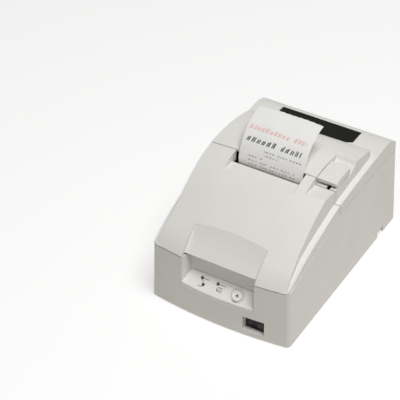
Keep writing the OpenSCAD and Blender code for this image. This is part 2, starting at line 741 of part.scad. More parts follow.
module lever_pin() color("silver") rod(lever_c, lever_x[0] + 1, lever_x[1] - 3, 1);

hook_t = 3;
hook_x = frame_r + (lever_x[1] - frame_r - hook_t) * 0.408;
hook_pin_c = [lever_c[0] - 7.5, 92];
hook_pin_r = 1.6;
hook_gap = 1.3;                     // from the hook's lip to the latch pin

module lever_hook() color([0.3, 0.3, 0.3]) {
    x = [hook_x, hook_x + hook_t];
    y = hook_pin_c[0] - hook_pin_r - hook_gap;
    z = hook_pin_c[1];
    box(x, [y - 2.4, y], [z + 6, case_h - 5.4]);
    // crank and nose in front of the pin
    box(x, [y - 3.6, y], [z + 4, z + 8]);
    box(x, [y - 3.6, y - 1], [z - 8, z + 5]);
    box(x, [y - 3.6, y], [z - 8, z - 4.6]);
}

module latch_pin() color("silver") rod(hook_pin_c, frame_r - sheet_t, hook_x + hook_t + 2, hook_pin_r);

// Holder under the roll cover that carries the platen and the pressure rollers
holder_x = 49;
holder_y = [web_back + 9, web_back + 12];
pressure_shaft_r = 2;

module platen_holder() color([0.2, 0.2, 0.21]) difference() {
    cheek = pressure_shaft_r + 2;
    union() {
        box([path_x - holder_x, path_x + holder_x], holder_y, [pressure_c[1] + pressure_d / 2 + 1, case_h - 7]);
        for (s = [-1, 1]) {
            x = path_x + s * (holder_x - 1.5);
            rod(pressure_c, x - 1.5, x + 1.5, cheek);
            box([x - 1.5, x + 1.5], [pressure_c[0] - cheek, holder_y[0] + 1],
                [pressure_c[1], pressure_c[1] + pressure_d / 2 + 4]);
        }
        // shelf behind the platen, and its ribs
        box([path_x - holder_x, path_x + holder_x], [web_back + 6.3, holder_y[1]], [print_z - 8, print_z + 8]);
        for (i = [-3:3]) box([path_x + i * 14 - 1, path_x + i * 14 + 1],
            [holder_y[1] - 0.5, holder_y[1] + 8], [84, case_h - 7]);
    }
    rod(pressure_c, path_x - holder_x - 2, path_x + holder_x + 2, pressure_shaft_r + bore_fit);
}

module platen() color([0.1, 0.1, 0.1])
    box([path_x - 42, path_x + 42], [web_back + clear, web_back + 6.3], [print_z - 8, print_z + 8]);

module pressure_shaft() color("silver")
    rod(pressure_c, path_x - holder_x - 1.5, path_x + holder_x + 1.5, pressure_shaft_r);

module pressure_rollers() color([0.25, 0.25, 0.25])
    for (x = [-30, -10, 10, 30]) difference() {
        rod(pressure_c, path_x + x - 6, path_x + x + 6, pressure_d / 2);
        rod(pressure_c, path_x + x - 7, path_x + x + 7, pressure_shaft_r);
    }

// ---- mechanism frame ----
frame_y = [-66, 30];

module side_plate(x) difference() {
    along_x(x, x + sheet_t) polygon([[frame_y[0], frame_z], [frame_y[1], frame_z], [frame_y[1], 84],
        hook_pin_c + [8, -4], hook_pin_c + [5, 5], hook_pin_c + [-5, 5], hook_pin_c + [-10, -8], [-26, 84], [-30, 90], [-44, 96], [frame_y[0] + 6, 84],
        [frame_y[0], 76]]);
    rod(shaft_c, x - 1, x + sheet_t + 1, shaft_d / 2);
    rod(feed_c, x - 1, x + sheet_t + 1, 3 + bore_fit);
}

module mech_frame() color([0.7, 0.71, 0.72]) difference() {
    union() {
        side_plate(frame_l);
        side_plate(frame_r - sheet_t);
        difference() {
            box([frame_l, frame_r], frame_y, [frame_z, frame_z + sheet_t]);
            box([path_x - 34, path_x + 34], [-30, 16], [frame_z - 1, frame_z + 3]);
        }
        // flange that carries the support rail
        box([frame_l, frame_r], [frame_y[0], frame_y[0] + sheet_t], [frame_z, 46]);
    }
    for (x = post_x, y = post_y) post(x, y, frame_z - 1, frame_z + 3, 1.6);
    // motor seats
    rod(motor_c, frame_l - 1, frame_l + sheet_t + 1, 5);
    rod(hook_pin_c, frame_r - 3, frame_r + 1, hook_pin_r);
    rod(idler_c, frame_l - 1, frame_l + 3, 1.5);
}

module guide_shaft() color([0.85, 0.86, 0.88])
    rod(shaft_c, frame_l - 1.5, frame_r + 1.5, shaft_d / 2);

rail_y = -60;
rail_z = 70;

module support_rail() color([0.6, 0.6, 0.62]) {
    box([frame_l + sheet_t, frame_r - sheet_t], [rail_y, rail_y + 1.5], [46, rail_z]);
    box([frame_l + sheet_t, frame_r - sheet_t], [frame_y[0] + sheet_t, rail_y + 1.5], [44.5, 46]);
}

module carriage() color([0.16, 0.16, 0.17]) difference() {
    x = [path_x - carriage_w / 2, path_x + carriage_w / 2];
    union() {
        box(x, carriage_y, [shaft_c[1] - 6, shaft_c[1] + 5.5]);
        // tongue that rides on the support rail
        box([path_x - 8, path_x + 8], [rail_y - 3.2, carriage_y[0] + 1], [shaft_c[1] - 2, shaft_c[1] + 2]);
        for (y = [rail_y - 3.2, rail_y + 2]) box([path_x - 8, path_x + 8], [y, y + 1.2], [rail_z - 3, shaft_c[1]]);
        // cradle of the print head
        for (s = [-1, 1]) box([path_x + s * 13 - 1.5, path_x + s * 13 + 1.5], carriage_y,
            [shaft_c[1] + 5, print_z - 2]);
        // belt grip
        box([path_x - 5, path_x + 5], [pulley_y + pulley_r + 1.2, pulley_y + pulley_r + 3.2], [belt_z + 0.5, shaft_c[1] - 5]);
    }
    rod(shaft_c, x[0] - 1, x[1] + 1, shaft_d / 2 + bore_fit);
    along_x(x[0] - 1, x[1] + 1) translate([(carriage_y[0] + carriage_y[1]) / 2, print_z]) circle(11.4);
}

head_r = 11;

module print_head() color([0.13, 0.13, 0.14]) {
    nose = web_front - 2.4;
    translate([path_x, 0, print_z]) rotate([90, 0, 0]) {
        // coil body with cooling fins
        translate([0, 0, -carriage_y[1]]) cylinder(h = 20, r = head_r);
        for (i = [0:4]) translate([0, 0, -carriage_y[1] + 1 + i * 4]) cylinder(h = 1.6, r = head_r + 1.4);
        translate([0, 0, -carriage_y[1] - 4]) cylinder(h = 4, r = 7);
    }
    // wire guide
    box([path_x - 3, path_x + 3], [carriage_y[1], nose], [print_z - 4.5, print_z + 4.5]);
    for (s = [-1, 1]) box([min(path_x + s * 10, path_x + s * 11.5), max(path_x + s * 10, path_x + s * 11.5)],
        [carriage_y[0] + 3, carriage_y[1] - 3], [print_z - 8, print_z - 3]);
}

// ---- carriage drive ----
motor_x = path_x + pulley_x;

module carriage_motor() color([0.25, 0.25, 0.27]) {
    post(motor_x, pulley_y, frame_z + sheet_t, frame_z + sheet_t + 32, 9.2);
    box([motor_x - 9.2, motor_x + 9.2], [pulley_y - 12, pulley_y + 12], [frame_z + sheet_t, frame_z + sheet_t + 2]);
    post(motor_x, pulley_y, frame_z + sheet_t, frame_z + sheet_t + 34, 3.5);
}

module pulley(x, z0, bore) {
    difference() {
        union() {
            post(x, pulley_y, belt_z - 3.5, belt_z + 3.5, pulley_r - 0.3);
            post(x, pulley_y, belt_z + 3.5, belt_z + 4.5, pulley_r + 1.5);
            post(x, pulley_y, belt_z - 4.5, belt_z - 3.5, pulley_r + 1.5);
            if (bore == 0) post(x, pulley_y, z0, belt_z, 1.5);
        }
        if (bore > 0) post(x, pulley_y, belt_z - 5, belt_z + 5, bore);
        // grooves between the teeth
        for (i = [0:17]) translate([x, pulley_y, belt_z - 3.5]) rotate(i * 20)
            translate([pulley_r - 0.9, -0.45, 0]) cube([1, 0.9, 7]);
    }
}

module drive_pulley() color([0.8, 0.8, 0.78]) pulley(motor_x, frame_z + sheet_t + 34 + clear, 0);
module idler_pulley() color([0.8, 0.8, 0.78]) pulley(path_x - pulley_x, 0, 2 + bore_fit);

module pulley_post() color("silver") {
    post(path_x - pulley_x, pulley_y, frame_z + sheet_t, belt_z + 5.5, 2);
    post(path_x - pulley_x, pulley_y, frame_z + sheet_t, belt_z - 4.5 - clear, 4);
    post(path_x - pulley_x, pulley_y, belt_z + 4.5 + clear, belt_z + 5.8, 3.4);
}

module carriage_belt() color([0.1, 0.1, 0.1]) translate([0, 0, belt_z - 3]) linear_extrude(6) difference() {
    belt_2d(pulley_r + 1.2);
    belt_2d(pulley_r);
}

module belt_2d(r) {
    for (s = [-1, 1]) translate([path_x + s * pulley_x, pulley_y]) circle(r);
    translate([path_x - pulley_x, pulley_y - r]) square([2 * pulley_x, 2 * r]);
}

// ---- paper feed drive ----
feed_teeth = 28;
idler_teeth = 20;
pinion_teeth = 12;
gear_t = 4;
gear_x = [frame_l - 1.5 - gear_t, frame_l - 1.5];
idler_turn = -27.7;                 // direction from the feed gear to the idler, in the y-z plane
idler_dist = gear_m * (feed_teeth + idler_teeth) / 2 + 0.1;
idler_c = feed_c + idler_dist * [cos(idler_turn), sin(idler_turn)];
pinion_turn = -26;
pinion_dist = gear_m * (idler_teeth + pinion_teeth) / 2 + 0.1;
motor_c = idler_c + pinion_dist * [cos(pinion_turn), sin(pinion_turn)];
feed_phase = idler_turn;
idler_phase = idler_turn + 180 + 180 / idler_teeth;
idler_lag = idler_phase - pinion_turn;
pinion_phase = pinion_turn + 180 + 180 / pinion_teeth - idler_lag * idler_teeth / pinion_teeth;

// One gear outline with round-flanked teeth, its first tooth at the angle phase
module gear_2d(teeth, phase) {
    pitch = gear_m * teeth / 2;
    root = pitch - 1.2 * gear_m;
    tip = pitch + 0.85 * gear_m;
    a = 90 / teeth;                 // half a tooth at the pitch circle
    circle(root + 0.01);
    for (i = [0:teeth - 1]) rotate(phase + i * 360 / teeth)
        polygon([[root - 0.3, -root * sin(a * 1.3)], [pitch, -pitch * sin(a * 0.86)], [tip, -tip * sin(a * 0.4)],
            [tip, tip * sin(a * 0.4)], [pitch, pitch * sin(a * 0.86)], [root - 0.3, root * sin(a * 1.3)]]);
}

module gear(c, teeth, phase, bore) along_x(gear_x[0], gear_x[1]) difference() {
    translate(c) gear_2d(teeth, phase);
    translate(c) circle(bore);
    if (teeth > 18) for (i = [0:4]) translate(c) rotate(i * 72 + 36) translate([gear_m * teeth * 0.3, 0]) circle(gear_m * 1.6);
}

module feed_gear() color([0.93, 0.93, 0.9]) gear(feed_c, feed_teeth, feed_phase, 3);
module idler_gear() color([0.93, 0.93, 0.9]) gear(idler_c, idler_teeth, idler_phase, 1.5 + bore_fit);

module gear_post() color("silver") {
    rod(idler_c, gear_x[0] - 1.3, frame_l + sheet_t, 1.5);
    rod(idler_c, gear_x[0] - 1.6, gear_x[0] - clear, 2.4);
}

module motor_pinion() color([0.8, 0.7, 0.35]) {
    along_x(gear_x[0], gear_x[1]) translate(motor_c) gear_2d(pinion_teeth, pinion_phase);
    rod(motor_c, gear_x[0], frame_l + sheet_t - clear, 1.2);
}

feed_motor_l = hopper_l - frame_l - sheet_t - 4.25;

module feed_motor() color([0.3, 0.3, 0.32]) {
    rod(motor_c, frame_l + sheet_t, frame_l + sheet_t + feed_motor_l, 15.5);
    along_x(frame_l + sheet_t, frame_l + sheet_t + 1) translate(motor_c)
        square([24, 34], center = true);
}

module feed_shaft() color("silver") rod(feed_c, gear_x[0] - 0.5, frame_r + 1, 3);

module feed_rollers() color([0.2, 0.2, 0.2]) for (x = [-30, -10, 10, 30]) difference() {
    rod(feed_c, path_x + x - 6, path_x + x + 6, feed_d / 2);
    rod(feed_c, path_x + x - 7, path_x + x + 7, 3);
}

// ---- ribbon cassette ----
cassette_x = frame_w / 2 - 7.75;
cassette_side = [[-80, 85], [-80, 92], [-72, 98], [-50, 112], [-31, 119], [-27, 119], [-27, 109.5], [-50, 107.2], [-56, 102]];
arm_x = [cassette_x - 7, cassette_x];

knob_x = path_x - cassette_x + 15;
knob_y = (cassette_side[2][0] + cassette_side[3][0]) / 2;
knob_r = 5.5;
knob_tilt = atan2(cassette_side[3][1] - cassette_side[2][1], cassette_side[3][0] - cassette_side[2][0]);

// Puts its children on the cassette's slope, at the knob
module on_cassette() translate([knob_x, knob_y, lookup(knob_y, [cassette_side[2], cassette_side[3]])])
    rotate([knob_tilt, 0, 0]) children();

module ribbon_cassette() color([0.12, 0.12, 0.13]) difference() {
    union() {
        along_x(path_x - cassette_x, path_x + cassette_x) polygon(cassette_side);
        for (s = [-1, 1]) {
            // arm that leads the ribbon to the print line
            x = path_x + s * (arm_x[0] + arm_x[1]) / 2;
            w = (arm_x[1] - arm_x[0]) / 2;
            along_x(x - w, x + w) polygon([[-31, 112], [-29, print_z + 3], [-22, print_z - 7],
                [ribbon_y - clear, print_z - 7], [ribbon_y - clear, 104], [-25, 112]]);
        }
        // lugs that rest on the side plates
        for (x = [[frame_l - 0.5, path_x - cassette_x + 3], [path_x + cassette_x - 3, frame_r + 0.5]])
            box(x, [-46, -42], [96 + clear, 109]);
    }
    on_cassette() translate([0, 0, -4]) cylinder(h = 5, r = 2 + bore_fit);
}

ribbon_y = web_front - 1.6;

module ink_ribbon() color([0.25, 0.1, 0.2])
    box([path_x - arm_x[1], path_x + arm_x[1]], [ribbon_y, ribbon_y + 0.4], [print_z - 6, print_z + 6]);

module ribbon_knob() color([0.2, 0.2, 0.22]) on_cassette() {
    translate([0, 0, -3.7]) cylinder(h = 4.5, r = 2);
    translate([0, 0, clear]) cylinder(h = 5, r = knob_r);
    for (i = [0:11]) rotate(i * 30) translate([knob_r - 0.2, 0, clear]) cylinder(h = 5, r = 0.8);
}

// ---- paper ----
web_start = [roll_c[0] + (roll_d / 2 + web_t / 2) * cos(180 + web_turn), roll_c[1] + (roll_d / 2 + web_t / 2) * sin(180 + web_turn)];
web_rise = 1 / tan(web_turn);
web_arc_y = print_y + web_r * (1 - cos(web_turn));
web_arc_z = web_start[1] + (web_start[0] - web_arc_y) * web_rise;
web_c = [print_y + web_r, web_arc_z + web_r * sin(web_turn)];

// Height of the paper web at y, before it turns up
function web_at(y) = web_start[1] + (web_start[0] - y) * web_rise;

module paper_hopper() color([0.22, 0.22, 0.23]) {
    x = [hopper_l, hopper_l + hopper_w];
    path = concat(
        [for (i = [0:16]) let (a = -15 - (165 - web_turn) * i / 16) trough_c + trough_r * [cos(a), sin(a)]],
        [for (a = [web_turn:-10:0]) web_c - (web_r + 1) * [cos(a), sin(a)]]);
    along_x(x[0], x[1]) polygon(concat(path, [for (i = [len(path) - 1:-1:0]) inset(path, -hopper_t)[i]]));
    for (s = [0, 1]) along_x(x[s] - s * hopper_t, x[s] + (1 - s) * hopper_t)
        polygon(concat(inset(path, -hopper_t / 2), [[-4, 74], [20, 82], [trough_c[0] - 20, 94], [trough_c[0] + 20, 94]]));
    // front legs on the frame's floor
    for (s = [-1, 1]) box([path_x + s * 38 - 2, path_x + s * 38 + 2], [frame_y[1] - 10, frame_y[1] - 6],
        [frame_z + sheet_t, web_at(frame_y[1] - 8) - 2]);
    // legs on the roof of the socket bay
    for (s = [-1, 1]) box([path_x + s * 30 - 3, path_x + s * 30 + 3], [bay_front + 3, bay_front + 6],
        [bay_z + 2, hopper_under(bay_front + 3) + 0.4]);
}

module paper_roll() color([0.97, 0.97, 0.96]) difference() {
    rod(roll_c, path_x - paper_w / 2, path_x + paper_w / 2, roll_d / 2);
    rod(roll_c, path_x - paper_w / 2 - 1, path_x + paper_w / 2 + 1, 8.5);
}

module roll_core() color([0.7, 0.6, 0.45]) difference() {
    rod(roll_c, path_x - paper_w / 2, path_x + paper_w / 2, 8.5);
    rod(roll_c, path_x - paper_w / 2 - 1, path_x + paper_w / 2 + 1, 6.2);
}

// A thin sheet along a side curve, as wide as the paper
module sheet_along(pts) along_x(path_x - paper_w / 2, path_x + paper_w / 2)
    polygon(concat(inset(pts, web_t / 2), [for (i = [len(pts) - 1:-1:0]) inset(pts, -web_t / 2)[i]]));

module paper_web() color([0.97, 0.97, 0.96])
    sheet_along(concat([web_start - [1.2, -1.2 * web_rise]],
        [for (a = [web_turn:-10:0]) web_c - web_r * [cos(a), sin(a)]], [[print_y, print_z + 12]]));

strip_foot = [print_y, print_z + 12 + clear];
strip_bend = [slot_front + 1.8, case_h - 7];
strip_mid = [print_y + 14, case_h + 18];
strip_end = [print_y + 48, case_h + 30];

module paper_strip() color([0.97, 0.97, 0.96])
    sheet_along(concat([strip_foot], bulge(strip_bend, strip_mid, 2.2, 6), rest_of(bulge(strip_mid, strip_end, 3, 6))));

// ---- boards and sockets ----
module main_board() color("darkgreen") box(board_x, board_y, [board_z, board_z + 1.6]);

module board_parts() color([0.15, 0.15, 0.15]) {
    z = board_z + 1.6;
    box([-30, -8], [-60, -38], [z, z + 2.2]);
    box([8, 22], [-58, -46], [z, z + 2]);
    for (x = [-40, 34]) post(x, -20, z, z + 5, 5);
    box([board_x[0] + 6, board_x[0] + 30], [board_y[1] - 8, board_y[1] - 2], [z, z + 5]);
}

module interface_plate() color([0.75, 0.76, 0.77]) difference() {
    box(plate_x, [bay_front, bay_front + 1.2], [socket_z - 10, socket_z + 10]);
    box([socket_x - 8, socket_x + 8], [bay_front - 1, bay_front + 2], [socket_z - 6, socket_z + 6]);
    for (x = [plate_x[0] + 5, plate_x[1] - 5]) translate([x, bay_front + 2, socket_z]) rotate([90, 0, 0]) cylinder(h = 4, r = 1.6);
}

socket_x = (plate_x[0] + plate_x[1]) / 2;

module interface_socket() color([0.85, 0.85, 0.83]) difference() {
    box([socket_x - 8, socket_x + 8], [bay_front - 5, bay_front + 6], [socket_z - 6, socket_z + 6]);
    box([socket_x - 6, socket_x + 6], [bay_front - 3, bay_front + 7], [socket_z - 5, socket_z + 5]);
}

module plate_screws() color("silver") for (x = [plate_x[0] + 5, plate_x[1] - 5])
    translate([x, 0, socket_z]) rotate([-90, 0, 0]) {
        translate([0, 0, bay_front + 1.2]) cylinder(h = 2, r = 3);
        translate([0, 0, bay_front - 1.6]) cylinder(h = 3, r = 1.5);
    }

module dc_inlet() color([0.1, 0.1, 0.1]) difference() {
    translate([dc_x, bay_front - 12, socket_z]) rotate([-90, 0, 0]) cylinder(h = 14, r = 7.5);
    translate([dc_x, bay_front - 8, socket_z]) rotate([-90, 0, 0]) cylinder(h = 14, r = 6);
}

module drawer_jack() color([0.15, 0.15, 0.15]) difference() {
    box([jack_x - 7, jack_x + 7], [bay_front - 12, bay_front + 1.5], [socket_z - 6.5, socket_z + 6.5]);
    box([jack_x - 5, jack_x + 5], [bay_front - 8, bay_front + 3], [socket_z - 4.5, socket_z + 4.5]);
}

lower_case();
base_plate();
feet();
case_screws();
switch_cover();
control_panel();
panel_board();
led_lenses();
feed_button();
switch_body();
power_rocker();
front_cover();
tear_bar();
front_hinge_pins();
roll_cover();
roll_window();
platen_holder();
platen();
rear_hinge_pins();
pressure_shaft();
pressure_rollers();
cover_lever();
lever_hook();
lever_pin();
latch_pin();
mech_frame();
guide_shaft();
support_rail();
carriage();
print_head();
carriage_motor();
drive_pulley();
idler_pulley();
pulley_post();
carriage_belt();
feed_motor();
motor_pinion();
idler_gear();
gear_post();
feed_shaft();
feed_rollers();
feed_gear();
ribbon_cassette();
ink_ribbon();
ribbon_knob();
paper_hopper();
paper_roll();
roll_core();
paper_web();
paper_strip();
main_board();
board_parts();
interface_plate();
interface_socket();
plate_screws();
dc_inlet();
drawer_jack();
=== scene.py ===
"""Dresses a compact impact receipt printer with its covers, controls and paper.

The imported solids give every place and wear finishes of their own. Small mouldings are copied with
rounded edges, and paper, print marks, symbols, contacts and board parts are computed here.
"""

import logging
import math
from collections.abc import Sequence
from dataclasses import dataclass, field
from enum import Enum
from typing import ClassVar

import bmesh
import bpy
import numpy as np
from mathutils import Matrix, Vector
from mathutils.bvhtree import BVHTree

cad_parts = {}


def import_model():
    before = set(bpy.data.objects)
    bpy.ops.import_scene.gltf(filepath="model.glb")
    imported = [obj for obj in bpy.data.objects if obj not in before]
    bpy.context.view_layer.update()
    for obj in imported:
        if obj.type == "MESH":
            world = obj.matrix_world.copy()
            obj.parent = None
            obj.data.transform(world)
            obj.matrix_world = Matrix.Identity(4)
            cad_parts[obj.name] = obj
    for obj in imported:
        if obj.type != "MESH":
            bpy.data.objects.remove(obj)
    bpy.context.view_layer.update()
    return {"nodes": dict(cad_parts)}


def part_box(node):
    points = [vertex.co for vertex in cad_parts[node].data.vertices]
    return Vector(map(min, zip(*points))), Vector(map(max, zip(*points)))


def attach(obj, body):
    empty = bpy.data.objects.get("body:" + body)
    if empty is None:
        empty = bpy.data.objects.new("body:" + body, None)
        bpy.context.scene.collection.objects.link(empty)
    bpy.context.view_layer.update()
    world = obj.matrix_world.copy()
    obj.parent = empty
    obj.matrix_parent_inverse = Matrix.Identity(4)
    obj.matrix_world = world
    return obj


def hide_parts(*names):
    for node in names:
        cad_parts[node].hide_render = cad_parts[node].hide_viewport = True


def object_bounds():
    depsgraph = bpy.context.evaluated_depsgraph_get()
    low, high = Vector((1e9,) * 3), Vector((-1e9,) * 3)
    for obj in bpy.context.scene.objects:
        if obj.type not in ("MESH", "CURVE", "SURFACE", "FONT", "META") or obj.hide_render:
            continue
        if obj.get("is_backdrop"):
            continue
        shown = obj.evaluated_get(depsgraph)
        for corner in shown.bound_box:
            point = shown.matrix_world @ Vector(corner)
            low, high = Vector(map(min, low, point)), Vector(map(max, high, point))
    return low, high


LOG = logging.getLogger("receipt_printer")
MM = 0.001
SAME_PLACE = 2e-6

Node = bpy.types.Node
Socket = bpy.types.NodeSocket
Piece = bpy.types.Object
Rgb = tuple[float, float, float]
Point = tuple[float, float, float]
Flat = tuple[float, float]
Feeds = dict[str, object]
Loops = list[Sequence[int]]


# ---------------------------------------------------------------- node work


class Bench:
    """Sets nodes out on one tree, in columns, and wires them together."""

    column_nodes = 6
    spacing = (220.0, 190.0)

    def __init__(self, tree: bpy.types.NodeTree) -> None:
        """Takes the tree that the nodes are laid on.

        Args:
            tree: The material, world or group tree.
        """
        self.tree = tree
        self.laid = 0

    def add(self, kind: str, feeds: Feeds | None = None, **settings: object) -> Node:
        """Adds one node.

        Args:
            kind: Blender's name of the node type.
            feeds: A value or an output for each named input.
            **settings: Properties of the node.

        Returns:
            The new node.
        """
        node = self.tree.nodes.new(kind)
        column, row = divmod(self.laid, self.column_nodes)
        node.location = (column * self.spacing[0], -row * self.spacing[1])
        self.laid += 1
        for key, value in settings.items():
            setattr(node, key, value)
        for key, value in (feeds or {}).items():
            self.feed(node.inputs[key], value)
        return node

    def feed(self, socket: Socket, value: object) -> None:
        """Links an output to an input, or sets the input's own value.

        Args:
            socket: The input.
            value: An output socket, a number, or a colour or vector of three.
        """
        if isinstance(value, Socket):
            self.tree.links.new(value, socket)
        elif socket.type == "RGBA":
            socket.default_value = (*value, 1.0)
        else:
            socket.default_value = value

    def calc(self, how: str, *terms: object, clamp: bool = False) -> Socket:
        """Returns the result of one math step on the terms."""
        node = self.add("ShaderNodeMath", operation=how, use_clamp=clamp)
        for socket, term in zip(node.inputs, terms):
            self.feed(socket, term)
        return node.outputs[0]

    def plus(self, first: object, second: object) -> Socket:
        """Returns the sum of two values."""
        return self.calc("ADD", first, second)

    def times(self, first: object, second: object) -> Socket:
        """Returns the product of two values."""
        return self.calc("MULTIPLY", first, second)

    def vector(self, how: str, *terms: object) -> Node:
        """Returns the node of one vector step on the terms."""
        node = self.add("ShaderNodeVectorMath", operation=how)
        for socket, term in zip(node.inputs, terms):
            self.feed(socket, term)
        return node

    def tint(self, share: object, low: object, high: object) -> Socket:
        """Returns two colours mixed by a share from 0, the first, to 1, the second."""
        node = self.add("ShaderNodeMix", data_type="RGBA")
        for index, value in ((0, share), (6, low), (7, high)):
            self.feed(node.inputs[index], value)
        return node.outputs[2]

    def noise(self, where: object, scale: object, detail: float = 3.0, rough: float = 0.5) -> Socket:
        """Returns a soft noise value of about 0.5 at a scale in cells per metre."""
        feeds = {"Vector": where, "Scale": scale, "Detail": detail, "Roughness": rough}
        return self.add("ShaderNodeTexNoise", feeds).outputs[0]

    def remap(self, value: object, low: float, high: float, to_low: float, to_high: float) -> Socket:
        """Returns a value moved from one range to another, and held inside it."""
        node = self.add("ShaderNodeMapRange")
        for socket, term in zip(node.inputs, (value, low, high, to_low, to_high)):
            self.feed(socket, term)
        return node.outputs[0]

    def join(self, node: Node, first: Node, second: Node) -> Node:
        """Returns a two-shader node with its last two inputs taken from two shaders."""
        for socket, shader in zip(node.inputs[-2:], (first, second)):
            self.feed(socket, shader.outputs[0])
        return node

    def seen(self) -> Socket:
        """Returns 1 for a ray from the camera, off a glossy face or through a clear one, and else 0."""
        path = self.add("ShaderNodeLightPath").outputs
        direct = self.calc("ADD", path["Is Camera Ray"], path["Is Glossy Ray"], clamp=True)
        return self.calc("ADD", direct, path["Is Transmission Ray"], clamp=True)


class Effect(Enum):
    """The surface effects that several finishes share."""

    GRAIN = "moulded_grain"
    STREAKS = "drawn_streaks"
    FIBRE = "paper_fibre"
    TRACES = "board_traces"
    WEAVE = "ribbon_weave"
    RINGS = "wound_rings"


class Cells:
    """Scales of the patterns in cells per metre, and of the two waves in radians per metre."""

    MOTTLE = 26.0
    SMEAR = 190.0
    LINE = 2400.0
    SPOT = 320.0
    PULP = 120.0
    FELT = 2600.0
    WANDER = 160.0
    BLOCK = 95.0
    PATCH = 60.0
    MASK = 40.0
    TRACE_WAVE = 5200.0
    THREAD_WAVE = 16000.0


class EffectShop:
    """Builds each shared effect once, as a node group with an input for each value that it is fed."""

    colours = ("Tint", "Shade", "Worn", "Copper")

    def __init__(self) -> None:
        """Starts with nothing built."""
        self.built: dict[Effect, bpy.types.NodeTree] = {}

    def get(self, effect: Effect, feeds: Feeds) -> bpy.types.NodeTree:
        """Returns the group of an effect, and builds it the first time."""
        if effect not in self.built:
            self.built[effect] = self.build(effect, feeds)
        return self.built[effect]

    def kind(self, name: str, value: object) -> str:
        """Returns the socket type of an input: a colour, another vector or a number."""
        if name in self.colours:
            return "NodeSocketColor"
        return "NodeSocketVector" if isinstance(value, tuple) else "NodeSocketFloat"

    def build(self, effect: Effect, feeds: Feeds) -> bpy.types.NodeTree:
        """Lays out one effect.

        Args:
            effect: Which effect.
            feeds: The values of its inputs, which give their names and types.

        Returns:
            The group, with Color, Roughness and Normal outputs.
        """
        group = bpy.data.node_groups.new(effect.value, "ShaderNodeTree")
        for name, value in feeds.items():
            group.interface.new_socket(name=name, in_out="INPUT", socket_type=self.kind(name, value))
        for name, kind in (("Color", "Color"), ("Roughness", "Float"), ("Normal", "Vector")):
            group.interface.new_socket(name=name, in_out="OUTPUT", socket_type="NodeSocket" + kind)
        bench = Bench(group)
        given = bench.add("NodeGroupInput").outputs
        where = bench.add("ShaderNodeTexCoord").outputs["Object"]
        draw = {Effect.GRAIN: self.grain, Effect.STREAKS: self.streaks, Effect.FIBRE: self.fibre,
                Effect.TRACES: self.traces, Effect.WEAVE: self.weave, Effect.RINGS: self.rings}[effect]
        color, roughness, height, normal = draw(bench, given, where)
        bump = bench.add("ShaderNodeBump", {"Height": height, "Distance": given["Depth"], "Strength": 1.0})
        if normal is not None:
            bench.feed(bump.inputs["Normal"], normal)
        end = bench.add("NodeGroupOutput")
        for name, value in (("Color", color), ("Roughness", roughness), ("Normal", bump.outputs[0])):
            bench.feed(end.inputs[name], value)
        return group

    @staticmethod
    def grain(bench: Bench, given: object, where: object) -> tuple[object, ...]:
        """Returns fine spark grain, faint mottling, handling marks, and edges painted lighter, partly as rubbed
        wear and partly as a painted highlight.
        """
        mottle = bench.noise(where, Cells.MOTTLE, 3.0)
        smear = bench.noise(where, Cells.SMEAR, 5.0, 0.6)
        fine = bench.noise(where, given["Cells"], 2.0, 0.6)
        soft = bench.add("ShaderNodeBevel", {"Radius": given["Edge"]}, samples=4).outputs[0]
        flat = bench.add("ShaderNodeNewGeometry").outputs["Normal"]
        turn = bench.vector("DOT_PRODUCT", soft, flat).outputs["Value"]
        edge, patch = bench.remap(turn, 0.86, 0.985, 1.0, 0.0), bench.remap(smear, 0.42, 0.62, 0.15, 1.0)
        # Edges are tinted towards the worn colour: partly rubbed wear, partly a painted highlight along every edge.
        rubbed_and_highlit = bench.times(bench.times(edge, patch), given["Wear"])
        cloud = bench.plus(bench.remap(mottle, 0.32, 0.68, 0.0, 0.6), bench.remap(smear, 0.4, 0.7, 0.0, 0.4))
        color = bench.tint(cloud, given["Tint"], given["Shade"])
        color = bench.tint(rubbed_and_highlit, color, given["Worn"])
        rough = bench.plus(given["Roughness"], bench.remap(smear, 0.3, 0.7, -0.06, 0.07))
        rough = bench.calc("SUBTRACT", rough, bench.times(rubbed_and_highlit, 0.12))
        height = bench.plus(fine, bench.times(smear, 0.6))
        return color, rough, height, soft

    @staticmethod
    def streaks(bench: Bench, given: object, where: object) -> tuple[object, ...]:
        """Returns fine lines along the way that the metal was drawn or turned, with dull spots."""
        along = bench.vector("MULTIPLY", where, given["Stretch"]).outputs[0]
        line = bench.noise(along, Cells.LINE, 3.0, 0.6)
        spot = bench.noise(where, Cells.SPOT, 4.0, 0.6)
        color = bench.tint(bench.remap(line, 0.3, 0.7, 0.0, 1.0), given["Tint"], given["Shade"])
        color = bench.tint(bench.remap(spot, 0.58, 0.75, 0.0, 0.35), color, given["Shade"])
        rough = bench.plus(given["Roughness"], bench.remap(spot, 0.35, 0.7, -0.05, 0.14))
        rough = bench.plus(rough, bench.remap(line, 0.3, 0.7, -0.04, 0.05))
        return color, rough, line, None

    @staticmethod
    def fibre(bench: Bench, given: object, where: object) -> tuple[object, ...]:
        """Returns tangled fibres with slightly thicker and thinner clouds."""
        drawn = bench.vector("MULTIPLY", where, (0.35, 1.0, 1.0)).outputs[0]
        felt = bench.noise(drawn, given["Cells"], 4.0, 0.7)
        cloud = bench.noise(where, Cells.PULP, 3.0)
        mix = bench.plus(bench.remap(felt, 0.35, 0.7, 0.0, 0.6), bench.remap(cloud, 0.35, 0.7, 0.0, 0.4))
        return bench.tint(mix, given["Tint"], given["Shade"]), bench.remap(felt, 0.2, 0.8, 0.72, 0.88), felt, None

